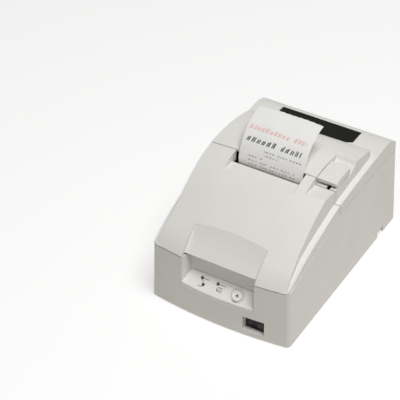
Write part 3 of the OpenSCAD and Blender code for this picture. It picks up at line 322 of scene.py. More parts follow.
    @staticmethod
    def traces(bench: Bench, given: object, where: object) -> tuple[object, ...]:
        """Returns solder mask over straight copper runs that turn at right angles."""
        blocks = bench.add("ShaderNodeTexVoronoi", {"Vector": where, "Scale": Cells.BLOCK}, distance="CHEBYCHEV")
        red = bench.add("ShaderNodeSeparateColor", {"Color": blocks.outputs["Color"]}).outputs[0]
        pick = bench.calc("GREATER_THAN", red, 0.5)
        parts = bench.add("ShaderNodeSeparateXYZ", {"Vector": where}).outputs
        runs = [bench.calc("GREATER_THAN", bench.calc("SINE", bench.times(part, Cells.TRACE_WAVE)), 0.25)
                for part in (parts[0], parts[1])]
        turned = bench.times(bench.calc("SUBTRACT", 1.0, pick), runs[1])
        copper = bench.plus(bench.times(pick, runs[0]), turned)
        patch = bench.remap(bench.noise(where, Cells.PATCH, 2.0), 0.44, 0.48, 0.0, 1.0)
        copper = bench.times(copper, patch)
        base = bench.tint(bench.noise(where, Cells.MASK, 2.0), given["Tint"], given["Shade"])
        return bench.tint(copper, base, given["Copper"]), bench.remap(copper, 0.0, 1.0, 0.28, 0.2), copper, None

    @staticmethod
    def weave(bench: Bench, given: object, where: object) -> tuple[object, ...]:
        """Returns over and under threads of an inked cloth ribbon."""
        parts = bench.add("ShaderNodeSeparateXYZ", {"Vector": where}).outputs
        waves = [bench.calc("SINE", bench.times(part, Cells.THREAD_WAVE)) for part in (parts[0], parts[2])]
        over = bench.times(waves[0], waves[1])
        color = bench.tint(bench.remap(over, -1.0, 1.0, 0.0, 1.0), given["Shade"], given["Tint"])
        return color, bench.remap(over, -1.0, 1.0, 0.75, 0.6), over, None

    @staticmethod
    def rings(bench: Bench, given: object, where: object) -> tuple[object, ...]:
        """Returns the edges of wound layers as rings about an axis along X."""
        off = bench.vector("SUBTRACT", where, given["Centre"]).outputs[0]
        across = bench.vector("MULTIPLY", off, (0.0, 1.0, 1.0)).outputs[0]
        radius = bench.vector("LENGTH", across).outputs["Value"]
        wander = bench.times(bench.noise(where, Cells.WANDER, 2.0), 0.0012)
        turns = bench.calc("DIVIDE", bench.plus(radius, wander), given["Pitch"])
        layer = bench.calc("SINE", bench.times(turns, 2.0 * math.pi))
        felt = bench.noise(where, Cells.FELT, 4.0, 0.7)
        share = bench.plus(bench.remap(layer, -1.0, 1.0, 0.35, 0.0), bench.remap(felt, 0.35, 0.7, 0.0, 0.45))
        return bench.tint(share, given["Tint"], given["Shade"]), bench.remap(felt, 0.2, 0.8, 0.74, 0.9), layer, None


SHOP = EffectShop()


# ---------------------------------------------------------------- finishes


@dataclass(frozen=True)
class Finish:
    """A finish with one tint, a slightly different shade, and an effect that its own fields feed."""

    effect: ClassVar[Effect]
    fed: ClassVar[tuple[str, ...]] = ("tint", "shade", "depth")

    name: str
    tint: Rgb
    shade: Rgb

    def shader(self) -> Feeds:
        """Returns the constants that are set on the shader's own sockets."""
        return {}

    def make(self) -> bpy.types.Material:
        """Returns the finished material, built from the effect and the constants."""
        material = bpy.data.materials.new(self.name)
        material.use_nodes = True
        material.node_tree.nodes.clear()
        bench = Bench(material.node_tree)
        feeds = {name.capitalize(): getattr(self, name) for name in self.fed}
        group = bench.add("ShaderNodeGroup", node_tree=SHOP.get(self.effect, feeds))
        for key, value in feeds.items():
            bench.feed(group.inputs[key], value)
        skin = bench.add("ShaderNodeBsdfPrincipled", self.shader())
        for key, socket in (("Color", "Base Color"), ("Roughness", "Roughness"), ("Normal", "Normal")):
            bench.feed(skin.inputs[socket], group.outputs[key])
        bench.feed(bench.add("ShaderNodeOutputMaterial").inputs["Surface"], skin.outputs[0])
        material.diffuse_color = (*self.tint, 1.0)
        return material


@dataclass(frozen=True)
class Moulded(Finish):
    """Injection-moulded plastic: spark grain, handling marks, and edges painted lighter as rubbed wear and as a
    painted highlight.
    """

    effect: ClassVar[Effect] = Effect.GRAIN
    fed: ClassVar[tuple[str, ...]] = ("tint", "shade", "worn", "cells", "depth", "roughness", "edge", "wear")

    # The worn colour is laid on the edges by the wear share, partly as wear and partly as a painted edge highlight.
    worn: Rgb = (0.9, 0.9, 0.88)
    roughness: float = 0.5
    cells: float = 2600.0
    depth: float = 0.00002
    edge: float = 0.0005
    wear: float = 0.35
    specular: float = 0.4
    coat: float = 0.0

    def shader(self) -> Feeds:
        """Returns the gloss of the moulding."""
        return {"Specular IOR Level": self.specular, "Coat Weight": self.coat, "Coat Roughness": 0.12}


@dataclass(frozen=True)
class Drawn(Finish):
    """Bare or plated metal with drawing or turning lines."""

    effect: ClassVar[Effect] = Effect.STREAKS
    fed: ClassVar[tuple[str, ...]] = ("tint", "shade", "stretch", "roughness", "depth")

    stretch: Point = (0.04, 1.0, 1.0)
    roughness: float = 0.28
    depth: float = 0.000006
    metal: float = 1.0

    def shader(self) -> Feeds:
        """Returns the metal's share."""
        return {"Metallic": self.metal}


@dataclass(frozen=True)
class Stock(Finish):
    """Paper or card stock with its fibres."""

    effect: ClassVar[Effect] = Effect.FIBRE
    fed: ClassVar[tuple[str, ...]] = ("tint", "shade", "cells", "depth")

    cells: float = 3000.0
    depth: float = 0.000012

    def shader(self) -> Feeds:
        """Returns a matt, slightly fuzzy face."""
        return {"Specular IOR Level": 0.25, "Sheen Weight": 0.08}


@dataclass(frozen=True)
class Wound(Finish):
    """Stock that is wound round an axis, with its layers showing at the ends."""

    effect: ClassVar[Effect] = Effect.RINGS
    fed: ClassVar[tuple[str, ...]] = ("tint", "shade", "centre", "pitch", "depth")

    centre: Point = (0.0, 0.0, 0.0)
    pitch: float = 0.0007
    depth: float = 0.00003

    def shader(self) -> Feeds:
        """Returns a matt face."""
        return {"Specular IOR Level": 0.25}


@dataclass(frozen=True)
class MaskedBoard(Finish):
    """Glass board under green solder mask."""

    effect: ClassVar[Effect] = Effect.TRACES
    fed: ClassVar[tuple[str, ...]] = ("tint", "shade", "copper", "depth")

    copper: Rgb = (0.03, 0.24, 0.1)
    depth: float = 0.00004

    def shader(self) -> Feeds:
        """Returns the mask's gloss."""
        return {"Coat Weight": 0.3, "Coat Roughness": 0.2}


@dataclass(frozen=True)
class InkedCloth(Finish):
    """Woven ribbon that is soaked with ink."""

    effect: ClassVar[Effect] = Effect.WEAVE

    depth: float = 0.00004

    def shader(self) -> Feeds:
        """Returns a soft sheen."""
        return {"Sheen Weight": 0.3}


# The worn colours are laid on the edges: rubbed wear, and on the ivory pieces a painted edge highlight as well.
IVORY = Moulded("ivory_shell", (0.815, 0.808, 0.776), (0.78, 0.772, 0.738), worn=(0.87, 0.863, 0.832),
                roughness=0.46, depth=0.000016, edge=0.0009, wear=0.35)
PANEL_WHITE = Moulded("panel_white", (0.88, 0.88, 0.855), (0.85, 0.848, 0.82), worn=(0.93, 0.93, 0.91),
                      roughness=0.34, cells=4200.0, depth=0.000006, edge=0.0003, wear=0.3)
DARK = Moulded("dark_moulding", (0.042, 0.042, 0.044), (0.03, 0.03, 0.033), worn=(0.11, 0.11, 0.11),
               roughness=0.48, depth=0.00003, wear=0.5)
BLACK = Moulded("black_moulding", (0.018, 0.017, 0.016), (0.012, 0.012, 0.012), worn=(0.06, 0.06, 0.06),
                roughness=0.42, depth=0.00001, edge=0.0003, wear=0.5, specular=0.2)
SMOKE = Moulded("smoked_window", (0.010, 0.0095, 0.0085), (0.007, 0.0068, 0.006), worn=(0.05, 0.05, 0.05),
                roughness=0.16, cells=900.0, depth=0.0000015, edge=0.0004, wear=0.5, specular=0.06)
LENS = Moulded("lamp_lens", (0.012, 0.022, 0.014), (0.008, 0.012, 0.01), worn=(0.03, 0.05, 0.03),
               roughness=0.1, cells=1800.0, depth=0.000001, edge=0.0002, specular=0.6, coat=0.8)
RUBBER = Moulded("black_rubber", (0.03, 0.03, 0.031), (0.022, 0.022, 0.022), worn=(0.07, 0.07, 0.068),
                 roughness=0.74, cells=1500.0, depth=0.00003, wear=0.6, specular=0.25)
ACETAL = Moulded("white_acetal", (0.83, 0.82, 0.78), (0.76, 0.75, 0.7), worn=(0.9, 0.9, 0.88),
                 roughness=0.3, cells=1400.0, depth=0.000004, edge=0.0002, wear=0.4)
STEEL = Drawn("ground_steel", (0.66, 0.665, 0.67), (0.52, 0.52, 0.53), stretch=(0.03, 1.0, 1.0), roughness=0.22)
ZINC = Drawn("zinc_sheet", (0.62, 0.63, 0.64), (0.5, 0.505, 0.5), stretch=(1.0, 0.08, 1.0), roughness=0.36)
CAST = Drawn("black_cast_head", (0.08, 0.08, 0.085), (0.05, 0.05, 0.052), stretch=(1.0, 1.0, 0.6), roughness=0.5,
             depth=0.00003, metal=0.7)
CAN = Drawn("motor_can", (0.3, 0.31, 0.32), (0.22, 0.225, 0.23), stretch=(1.0, 1.0, 0.1), roughness=0.34)
BRASS = Drawn("cut_brass", (0.72, 0.52, 0.22), (0.55, 0.38, 0.15), stretch=(0.1, 1.0, 1.0), roughness=0.28)
GOLD = Drawn("gilt_contact", (0.83, 0.62, 0.28), (0.7, 0.5, 0.2), stretch=(1.0, 0.1, 1.0), roughness=0.25)
PAPER = Stock("bond_paper", (0.9, 0.9, 0.885), (0.86, 0.86, 0.84))
CARD = Stock("grey_card", (0.36, 0.27, 0.17), (0.28, 0.2, 0.12), cells=1800.0, depth=0.00003)
BOARD = MaskedBoard("green_board", (0.012, 0.13, 0.05), (0.008, 0.09, 0.036))
RIBBON = InkedCloth("inked_ribbon", (0.06, 0.03, 0.075), (0.02, 0.012, 0.03))
RED_INK = Stock("red_ink", (0.82, 0.36, 0.34), (0.88, 0.56, 0.54), cells=2200.0)
BLACK_INK = Stock("black_ink", (0.02, 0.02, 0.024), (0.07, 0.07, 0.075), cells=2200.0)
GREY_INK = Stock("grey_ink", (0.22, 0.22, 0.22), (0.36, 0.36, 0.35), cells=2200.0)
PANEL_INK = Stock("panel_ink", (0.035, 0.035, 0.034), (0.09, 0.09, 0.088), cells=1600.0)
PALE_INK = Stock("pale_ink", (0.3, 0.3, 0.29), (0.24, 0.24, 0.23), cells=1600.0)

SLOT_FINISHES: dict[str, Finish] = {
    "case": IVORY, "white_panel": PANEL_WHITE, "dark_plastic": DARK, "black_plastic": BLACK, "smoke": SMOKE,
    "led": LENS, "rubber": RUBBER, "steel": STEEL, "sheet": ZINC, "head": CAST, "motor": CAN,
    "white_gear": ACETAL, "brass": BRASS, "ribbon": RIBBON, "paper": PAPER, "card": CARD, "board": BOARD,
}


class FinishRack:
    """Keeps each finish's material, so that pieces of one finish share it."""

    def __init__(self) -> None:
        """Starts empty."""
        self.made: dict[Finish, bpy.types.Material] = {}

    def get(self, finish: Finish) -> bpy.types.Material:
        """Returns the material of a finish, and makes it the first time."""
        if finish not in self.made:
            self.made[finish] = finish.make()
        return self.made[finish]


RACK = FinishRack()


# ---------------------------------------------------------------- mesh work


def link_mesh(name: str, mesh: bpy.types.Mesh, body: str, finish: Finish) -> Piece:
    """Puts a mesh in the scene on its body, with its finish.

    Args:
        name: Name of the piece.
        mesh: Its mesh, in the shared frame.
        body: The body that it rides on.
        finish: The finish that it wears.

    Returns:
        The new object, which sits at the origin.
    """
    mesh.materials.clear()
    mesh.materials.append(RACK.get(finish))
    piece = bpy.data.objects.new(name, mesh)
    bpy.context.scene.collection.objects.link(piece)
    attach(piece, body)
    return piece


def mesh_from(name: str, points: np.ndarray, faces: Loops, smooth: bool = True) -> bpy.types.Mesh:
    """Returns a mesh made of numpy points and loops of their indices, all smooth or all flat."""
    mesh = bpy.data.meshes.new(name)
    mesh.from_pydata(np.asarray(points, float).tolist(), [], faces)
    mesh.polygons.foreach_set("use_smooth", np.full(len(mesh.polygons), smooth))
    mesh.update()
    return mesh


def grid_faces(rows: int, columns: int, start: int = 0, flip: bool = False) -> Loops:
    """Returns the quads of a grid of points that is laid out row by row."""
    index = start + np.arange(rows * columns).reshape(rows, columns)
    quads = np.stack([index[:-1, :-1], index[:-1, 1:], index[1:, 1:], index[1:, :-1]], -1).reshape(-1, 4)
    return (quads[:, ::-1] if flip else quads).tolist()


def arc_points(first: np.ndarray, last: np.ndarray, rise: float, count: int = 24) -> np.ndarray:
    """Returns points of the arc that rises above the chord from first to last, to its left."""
    half = np.linalg.norm(last - first) / 2.0
    radius = (half * half + rise * rise) / (2.0 * rise)
    along = (last - first) / (2.0 * half)
    left = np.array([-along[1], along[0]])
    angle = math.asin(half / radius) * np.linspace(-1.0, 1.0, count)[:, None]
    across = radius * np.cos(angle) - (radius - rise)
    return (first + last) / 2.0 + along * radius * np.sin(angle) + left * across


def run_along(line: np.ndarray) -> np.ndarray:
    """Returns how far along a line each of its points is."""
    return np.concatenate([[0.0], np.cumsum(np.linalg.norm(np.diff(line, axis=0), axis=1))])


@dataclass(frozen=True)
class Rounding:
    """How a moulding's edges are rounded.

    Edges that turn by less than the angle stay smooth, and an edge takes at most its share of the
    room beside it. Weights under the least are dropped, and a corner may stray off the surface by
    that part of the width.
    """

    width: float = 0.0006
    segments: int = 2
    angle: float = 22.0
    share: float = 0.48
    least: float = 0.02
    stray: float = 0.6

    def room(self, edge: bmesh.types.BMEdge) -> float:
        """Returns how wide an edge's rounding may be, from the height of the faces beside it.

        A neighbouring side g of a face rises |g| sin(angle between g and the edge) above the edge.
        The least of the four such sides, times the share, is the room.

        Args:
            edge: A sharp edge with two faces.
        """
        along = (edge.verts[1].co - edge.verts[0].co).normalized()
        room = edge.calc_length()
        for loop in edge.link_loops:
            for side in (loop.link_loop_next.edge, loop.link_loop_prev.edge):
                reach = side.verts[1].co - side.verts[0].co
                room = min(room, reach.cross(along).length)
        return room * self.share

    def weigh(self, work: bmesh.types.BMesh) -> None:
        """Marks the sharp edges, and weighs each by the room beside it."""
        layer = work.edges.layers.float.new("bevel_weight_edge")
        limit = math.radians(self.angle)
        for face in work.faces:
            face.smooth = True
        for edge in work.edges:
            edge.smooth = len(edge.link_faces) == 2 and edge.calc_face_angle(0.0) < limit
            fixed = edge.smooth or self.width == 0.0 or len(edge.link_faces) != 2
            weight = 0.0 if fixed else min(1.0, self.room(edge) / self.width)
            edge[layer] = weight if weight > self.least else 0.0

    def carve(self, sharp: bpy.types.Mesh) -> bpy.types.Mesh:
        """Returns a copy of a weighed mesh with its edges rounded.

        A corner that strays too far off the sharp surface is brought back to its nearest point.

        Args:
            sharp: The mesh, with its weights.
        """
        blank = bpy.data.objects.new("blank", sharp)
        bpy.context.scene.collection.objects.link(blank)
        bevel = blank.modifiers.new("rounded_edges", "BEVEL")
        bevel.limit_method = "WEIGHT"
        bevel.width, bevel.segments, bevel.use_clamp_overlap = self.width, self.segments, False
        mesh = bpy.data.meshes.new_from_object(blank.evaluated_get(bpy.context.evaluated_depsgraph_get()))
        bpy.data.objects.remove(blank)
        tree = BVHTree.FromPolygons([v.co for v in sharp.vertices], [tuple(f.vertices) for f in sharp.polygons])
        for corner in mesh.vertices:
            place, _, _, away = tree.find_nearest(corner.co)
            if away > self.width * self.stray:
                corner.co = place
        bpy.data.meshes.remove(sharp)
        return mesh


def rounded_copy(node: str, body: str, finish: Finish, rounding: Rounding) -> Piece:
    """Copies a node's mesh, merges its corners, smooths its curves and rounds its sharp edges.

    Args:
        node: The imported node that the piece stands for.
        body: The body that it rides on.
        finish: The finish that it wears.
        rounding: Width and number of steps of the rounding. A width of zero only smooths the curves.

    Returns:
        The new piece.
    """
    work = bmesh.new()
    work.from_mesh(bpy.data.objects[node].data)
    bmesh.ops.remove_doubles(work, verts=work.verts, dist=SAME_PLACE)
    rounding.weigh(work)
    sharp = bpy.data.meshes.new(node + "_sharp")
    work.to_mesh(sharp)
    work.free()
    if "custom_normal" in sharp.attributes:
        sharp.attributes.remove(sharp.attributes["custom_normal"])
    mesh = rounding.carve(sharp) if rounding.width else sharp
    piece = link_mesh(node + "_rounded", mesh, body, finish)
    weighted = piece.modifiers.new("flat_faces", "WEIGHTED_NORMAL")
    weighted.mode = "FACE_AREA_WITH_ANGLE"
    weighted.keep_sharp = True
    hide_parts(node)
    return piece


@dataclass(frozen=True)
class Plane:
    """A flat face that marks are set on: its origin and its across and up directions."""

    origin: Point
    across: Point
    up: Point

    def place(self, flat: np.ndarray, lift: float = 0.0) -> np.ndarray:
        """Returns flat points, as (across, up) in metres, set on the plane and lifted off it."""
        across, up = np.array(self.across), np.array(self.up)
        out = np.cross(across, up)
        return np.array(self.origin) + flat[:, :1] * across + flat[:, 1:2] * up + lift * out


def around(place: Flat, spots: Sequence[Flat]) -> list[Flat]:
    """Returns flat points that are given from a place."""
    return [(place[0] + x, place[1] + y) for x, y in spots]


class Pile:
    """Collects small shapes and makes them one piece."""

    def __init__(self) -> None:
        """Starts with no shape."""
        self.points: list[np.ndarray] = []
        self.faces: Loops = []
        self.count = 0

    def add(self, points: np.ndarray, faces: Loops) -> None:
        """Adds points, in metres, and the faces that join them."""
        self.points.append(points)
        self.faces.extend(tuple(index + self.count for index in face) for face in faces)
        self.count += len(points)

    def piece(self, name: str, body: str, slot: str, finish: Finish) -> Piece:
        """Returns all the shapes as one piece on a body."""
        return link_mesh(name, mesh_from(name, np.concatenate(self.points), self.faces, False), body, finish)


class Marks(Pile):
    """Flat marks of ink, a little above the face that they are printed on."""

    lift = 0.05 * MM
    arc_step = 9.0

    def bar(self, plane: Plane, low: Flat, high: Flat, slant: float = 0.0) -> None:
        """Adds a bar between two corners in millimetres, leaning by slant at its top."""
        self.shape(plane, [low, (high[0], low[1]), (high[0] + slant, high[1]), (low[0] + slant, high[1])])

    def ring(self, plane: Plane, centre: Flat, radius: float, stroke: float,
             start: float = 0.0, sweep: float = 360.0) -> None:
        """Adds a ring or an arc: points (r cos a, r sin a) at two radii, stroke apart, in millimetres."""
        steps = max(4, int(sweep / self.arc_step))
        angle = np.radians(start + sweep * np.linspace(0.0, 1.0, steps + 1))
        rim = np.stack([np.cos(angle), np.sin(angle)], 1)
        flat = np.concatenate([rim * (radius - stroke / 2), rim * (radius + stroke / 2)]) + np.array(centre)
        self.add(plane.place(flat * MM, self.lift), grid_faces(2, steps + 1, flip=True))

    def shape(self, plane: Plane, outline: list[Flat]) -> None:
        """Adds one filled outline in millimetres."""
        self.add(plane.place(np.array(outline, float) * MM, self.lift), [tuple(range(len(outline)))])


class Blocks(Pile):
    """Small blocks whose edges and corners are chamfered."""

    corners = np.array(list(np.ndindex(2, 2, 2)))
    most_share = 0.3

    def __init__(self, chamfer: float) -> None:
        """Takes the chamfer of every block in millimetres, and works out the faces that all share."""
        super().__init__()
        self.chamfer = chamfer
        self.ends = np.tile(self.corners, (3, 1))
        self.inward = np.concatenate([(1 - 2 * self.corners) * (np.arange(3) != axis) for axis in range(3)])
        self.sides = self.block_faces()

    def block_faces(self) -> Loops:
        """Returns the 6 sides, 12 edges and 8 corners of a block, facing outwards.

        The point of corner (i, j, k) on the side across axis a has the index 8 a + 4 i + 2 j + k.
        """
        def spot(side: int, axis: int, end: int, u: int, v: int) -> int:
            """Returns a point's index, from its side and its corner's ends along the axis and the others."""
            return 8 * side + int(np.insert((u, v), axis, end) @ (4, 2, 1))

        loops = [[spot(axis, axis, end, u, v) for u, v in ((0, 0), (1, 0), (1, 1), (0, 1))]
                 for axis in range(3) for end in (0, 1)]
        for axis, first, second in ((0, 1, 2), (1, 0, 2), (2, 0, 1)):
            for u, v in np.ndindex(2, 2):
                loops.append([spot(side, axis, end, u, v)
                              for side, end in ((first, 0), (second, 0), (second, 1), (first, 1))])
        loops += [[corner, 8 + corner, 16 + corner] for corner in range(8)]
        unit = self.ends + 0.25 * self.inward - 0.5
        out = [np.dot(np.cross(unit[b] - unit[a], unit[c] - unit[a]), unit[a] + unit[b] + unit[c])
               for a, b, c, *_ in loops]
        return [loop if facing > 0 else loop[::-1] for loop, facing in zip(loops, out)]

    def block(self, low: Point, high: Point) -> None:
        """Adds a block between two corners in millimetres.

        Each of its six sides is drawn in by the chamfer c: a side's corners are (x, y + c, z + c)
        and so on. A thin block's chamfer is at most a share of its least size.
        """
        low_a, high_a = np.array(low, float), np.array(high, float)
        cut = min(self.chamfer, float((high_a - low_a).min()) * self.most_share)
        self.add((np.where(self.ends == 1, high_a, low_a) + self.inward * cut) * MM, self.sides)


# ---------------------------------------------------------------- sub-assemblies


@dataclass
class Shells:
    """The three ivory mouldings of the case, with their curves smoothed.

    Their sharp edges stay as the solids have them, and the finish rounds these off in its relief.
    """

    angle: float = 20.0

    def build(self) -> list[Piece]:
        """Returns the lower case, the front cover and the roll cover."""
        smooth = Rounding(width=0.0, angle=self.angle)
        bodies = {"lower_case": "base", "front_cover": "front_cover", "roll_cover": "roll_cover"}
        return [rounded_copy(node, body, IVORY, smooth) for node, body in bodies.items()]


@dataclass
class TopFittings:
    """The lever that opens the roll cover, and the smoked window of that cover."""

    lever_edge: float = 0.0008
    window_edge: float = 0.0004
    front_band: float = 0.0015
    grip_reach: float = 0.004
    grip_height: float = 0.008
    grip_slope: float = 0.5

    def build(self) -> list[Piece]:
        """Returns the rounded copies of the lever and the window."""
        lever = rounded_copy("cover_lever", "cover_lever", IVORY, Rounding(self.lever_edge))
        self.undercut(lever.data)
        return [lever, rounded_copy("roll_window", "roll_cover", SMOKE, Rounding(self.window_edge))]

    def undercut(self, mesh: bpy.types.Mesh) -> None:
        """Draws the lever's front face in towards its foot, as a finger grip.

        A point at depth y behind the front and height z below the front's top edge moves back by
        slope (top - z) (1 - y / reach), and points deeper than the reach stay.

        Args:
            mesh: The lever's mesh.
        """
        flat = np.empty(len(mesh.vertices) * 3)
        mesh.vertices.foreach_get("co", flat)
        points = flat.reshape(-1, 3)
        front = points[:, 1].min()
        top = points[points[:, 1] < front + self.front_band, 2].max()
        share = np.clip(1.0 - (points[:, 1] - front) / self.grip_reach, 0.0, 1.0)
        points[:, 1] += self.grip_slope * np.clip(top - points[:, 2], 0.0, self.grip_height) * share
        mesh.vertices.foreach_set("co", points.ravel())
        mesh.update()


@dataclass
class ControlPanel:
    """The white panel in the niche, with its button, lamps and printed symbols.

    Places on the panel's face are in millimetres across and up from its origin.
    """

    origin: Point = (-0.0005, -0.1226, 0.038)
    tilt: float = 39.17
    edge: float = 0.0003
    lamps: tuple[Flat, ...] = ((-23.2, 11.6), (-19.5, 5.2), (-4.2, 11.4))
    lamp_radius: float = 1.5
    lamp_stroke: float = 0.7
    dashes: tuple[tuple[Flat, tuple[float, ...]], ...] = (
        ((-20.4, 11.2), (1.1, 0.8, 1.4, 0.9)),
        ((-24.4, 2.2), (1.2, 0.9, 1.3)),
        ((-1.4, 11.0), (1.0, 1.3, 0.8, 1.1, 0.9)),
    )
    dash_height: float = 0.8
    dash_gap: float = 0.45
    frame: tuple[Flat, Flat] = ((-22.6, 7.6), (-20.2, 9.55))
    frame_line: float = 0.25
    feed_place: Flat = (-0.15, 5.4)
    roller_ring: tuple[Flat, float, float] = ((0.9, -0.4), 1.5, 0.5)
    sheet_arc: tuple[Flat, float, Flat] = ((-0.6, 0.3), 2.6, (60.0, 150.0))
    sheet_head: tuple[Flat, ...] = ((-3.2, -1.6), (-1.2, -1.2), (-2.6, 0.6))
    sheet_stroke: tuple[Flat, Flat, float] = ((0.2, 2.6), (3.0, 3.1), 0.4)
    button: Flat = (20.6, 7.2)
    button_face: float = 0.00115
    button_head: tuple[Flat, ...] = ((-1.7, -0.6), (1.7, -0.6), (0.2, 1.9))
    button_bar: tuple[Flat, Flat] = ((-1.6, -1.5), (1.6, -1.05))
    ring_radius: float = 7.3
    ring_dashes: int = 22
    ring_sweep: float = 9.5
    foot_places: Flat = (-2.2, 0.4)
    foot_dash: Flat = (1.6, 0.7)
    stroke: float = 0.55

    def plane(self, lift: float = 0.0) -> Plane:
        """Returns the panel's face, lifted off by some metres."""
        angle = math.radians(self.tilt)
        up = (0.0, math.cos(angle), math.sin(angle))
        out = (0.0, -math.sin(angle), math.cos(angle))
        origin = tuple(self.origin[i] + out[i] * lift for i in range(3))
        return Plane(origin, (1.0, 0.0, 0.0), up)

    def build(self) -> list[Piece]:
        """Returns the panel, the button and the symbols."""
        face = self.plane()
        ink = Marks()
        for place in self.lamps:
            ink.ring(face, place, self.lamp_radius, self.lamp_stroke)
        self.dash_rows(ink, face)
        self.lamp_frame(ink, face)
        self.feed_symbol(ink, face)
        self.button_ring(ink, face)
        cap = Marks()
        self.button_symbol(cap)
        soft = Rounding(self.edge)
        return [
            rounded_copy("control_panel", "base", PANEL_WHITE, soft),
            rounded_copy("feed_button", "feed_button", PANEL_WHITE, soft),
            ink.piece("panel_symbols", "base", "white_panel", PANEL_INK),
            cap.piece("button_symbol", "feed_button", "white_panel", PANEL_INK),
        ]

    def dash_rows(self, ink: Marks, face: Plane) -> None:
        """Adds the rows of plain dashes beside the lamps."""
        for (x, y), lengths in self.dashes:
            for length in lengths:
                ink.bar(face, (x, y), (x + length, y + self.dash_height))
                x += length + self.dash_gap

    def lamp_frame(self, ink: Marks, face: Plane) -> None:
        """Adds the frame between two lamps, as its foot, top, left and right lines."""
        (left, foot), (right, top) = self.frame
        line = self.frame_line
        ink.bar(face, (left, foot), (right, foot + line))
        ink.bar(face, (left, top - line), (right, top))
        ink.bar(face, (left, foot), (left + line, top))
        ink.bar(face, (right - line, foot), (right, top))

    def feed_symbol(self, ink: Marks, face: Plane) -> None:
        """Adds a sheet that curls round a roller, as a ring, an arc, an arrow head and a stroke."""
        (roller, radius, line), (sheet, bend, sweep) = self.roller_ring, self.sheet_arc
        *ends, slant = self.sheet_stroke
        roller, sheet, *ends = around(self.feed_place, (roller, sheet, *ends))
        ink.ring(face, roller, radius, line)
        ink.ring(face, sheet, bend, self.stroke, *sweep)
        ink.shape(face, around(self.feed_place, self.sheet_head))
        ink.bar(face, *ends, slant)

    def button_ring(self, ink: Marks, face: Plane) -> None:
        """Adds a ring of short dashes round the button and two dashes below it."""
        for step in range(self.ring_dashes):
            start = step * 360 / self.ring_dashes
            ink.ring(face, self.button, self.ring_radius, self.stroke, start, self.ring_sweep)
        for side in self.foot_places:
            left = self.button[0] + side
            ink.bar(face, (left, 0.0), (left + self.foot_dash[0], self.foot_dash[1]))

    def button_symbol(self, cap: Marks) -> None:
        """Adds a plain arrow head over a bar on the button's dish."""
        face = self.plane(self.button_face)
        cap.shape(face, around(self.button, self.button_head))
        cap.bar(face, *around(self.button, self.button_bar))


@dataclass
class PowerSwitch:
    """The black rocker in its recess at the front right, with its I and O marks."""

    rocker_edge: float = 0.0004
    body_edge: float = 0.0003
    centre: Flat = (42.5, 15.2)
    face_fall: float = 0.5
    lift: float = 0.0002
    bar_reach: Flat = (-6.3, -5.6)
    bar_half: float = 2.0
    ring_place: Flat = (5.8, 0.0)
    ring_radius: float = 1.9
    ring_stroke: float = 0.6

    def build(self) -> list[Piece]:
        """Returns the rocker, its body and the two marks.

        Each half of the rocker falls back from the ridge by face_fall millimetres at its middle,
        and its mark lies on a plane with that slope.
        """
        low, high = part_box("power_rocker")
        slope = self.face_fall * MM / ((high.x - low.x) / 2 * 0.5)
        marks = Marks()
        origin = (self.centre[0] * MM, low.y - self.lift, self.centre[1] * MM)
        length = math.hypot(1.0, slope)
        left, right = [Plane(origin, (1.0 / length, side * slope / length, 0.0), (0.0, 0.0, 1.0))
                       for side in (-1, 1)]
        marks.bar(left, (self.bar_reach[0], -self.bar_half), (self.bar_reach[1], self.bar_half))
        marks.ring(right, self.ring_place, self.ring_radius, self.ring_stroke)
        return [
            rounded_copy("power_rocker", "power_rocker", BLACK, Rounding(self.rocker_edge)),
            rounded_copy("switch_body", "base", BLACK, Rounding(self.body_edge)),
            marks.piece("rocker_marks", "power_rocker", "white_panel", PALE_INK),
        ]


@dataclass(frozen=True)
class StrokeRow:
    """One printed row of slanting strokes, in millimetres.

    It runs from start to stop across the strip, measured from its middle, and its foot stands at
    level below the strip's top edge. A stroke's width lies between the two widths, its top leans to
    the right by slant, and a wide gap follows each group of strokes.
    """

    start: float
    stop: float
    level: float
    height: float
    widths: Flat
    slant: float
    group: int


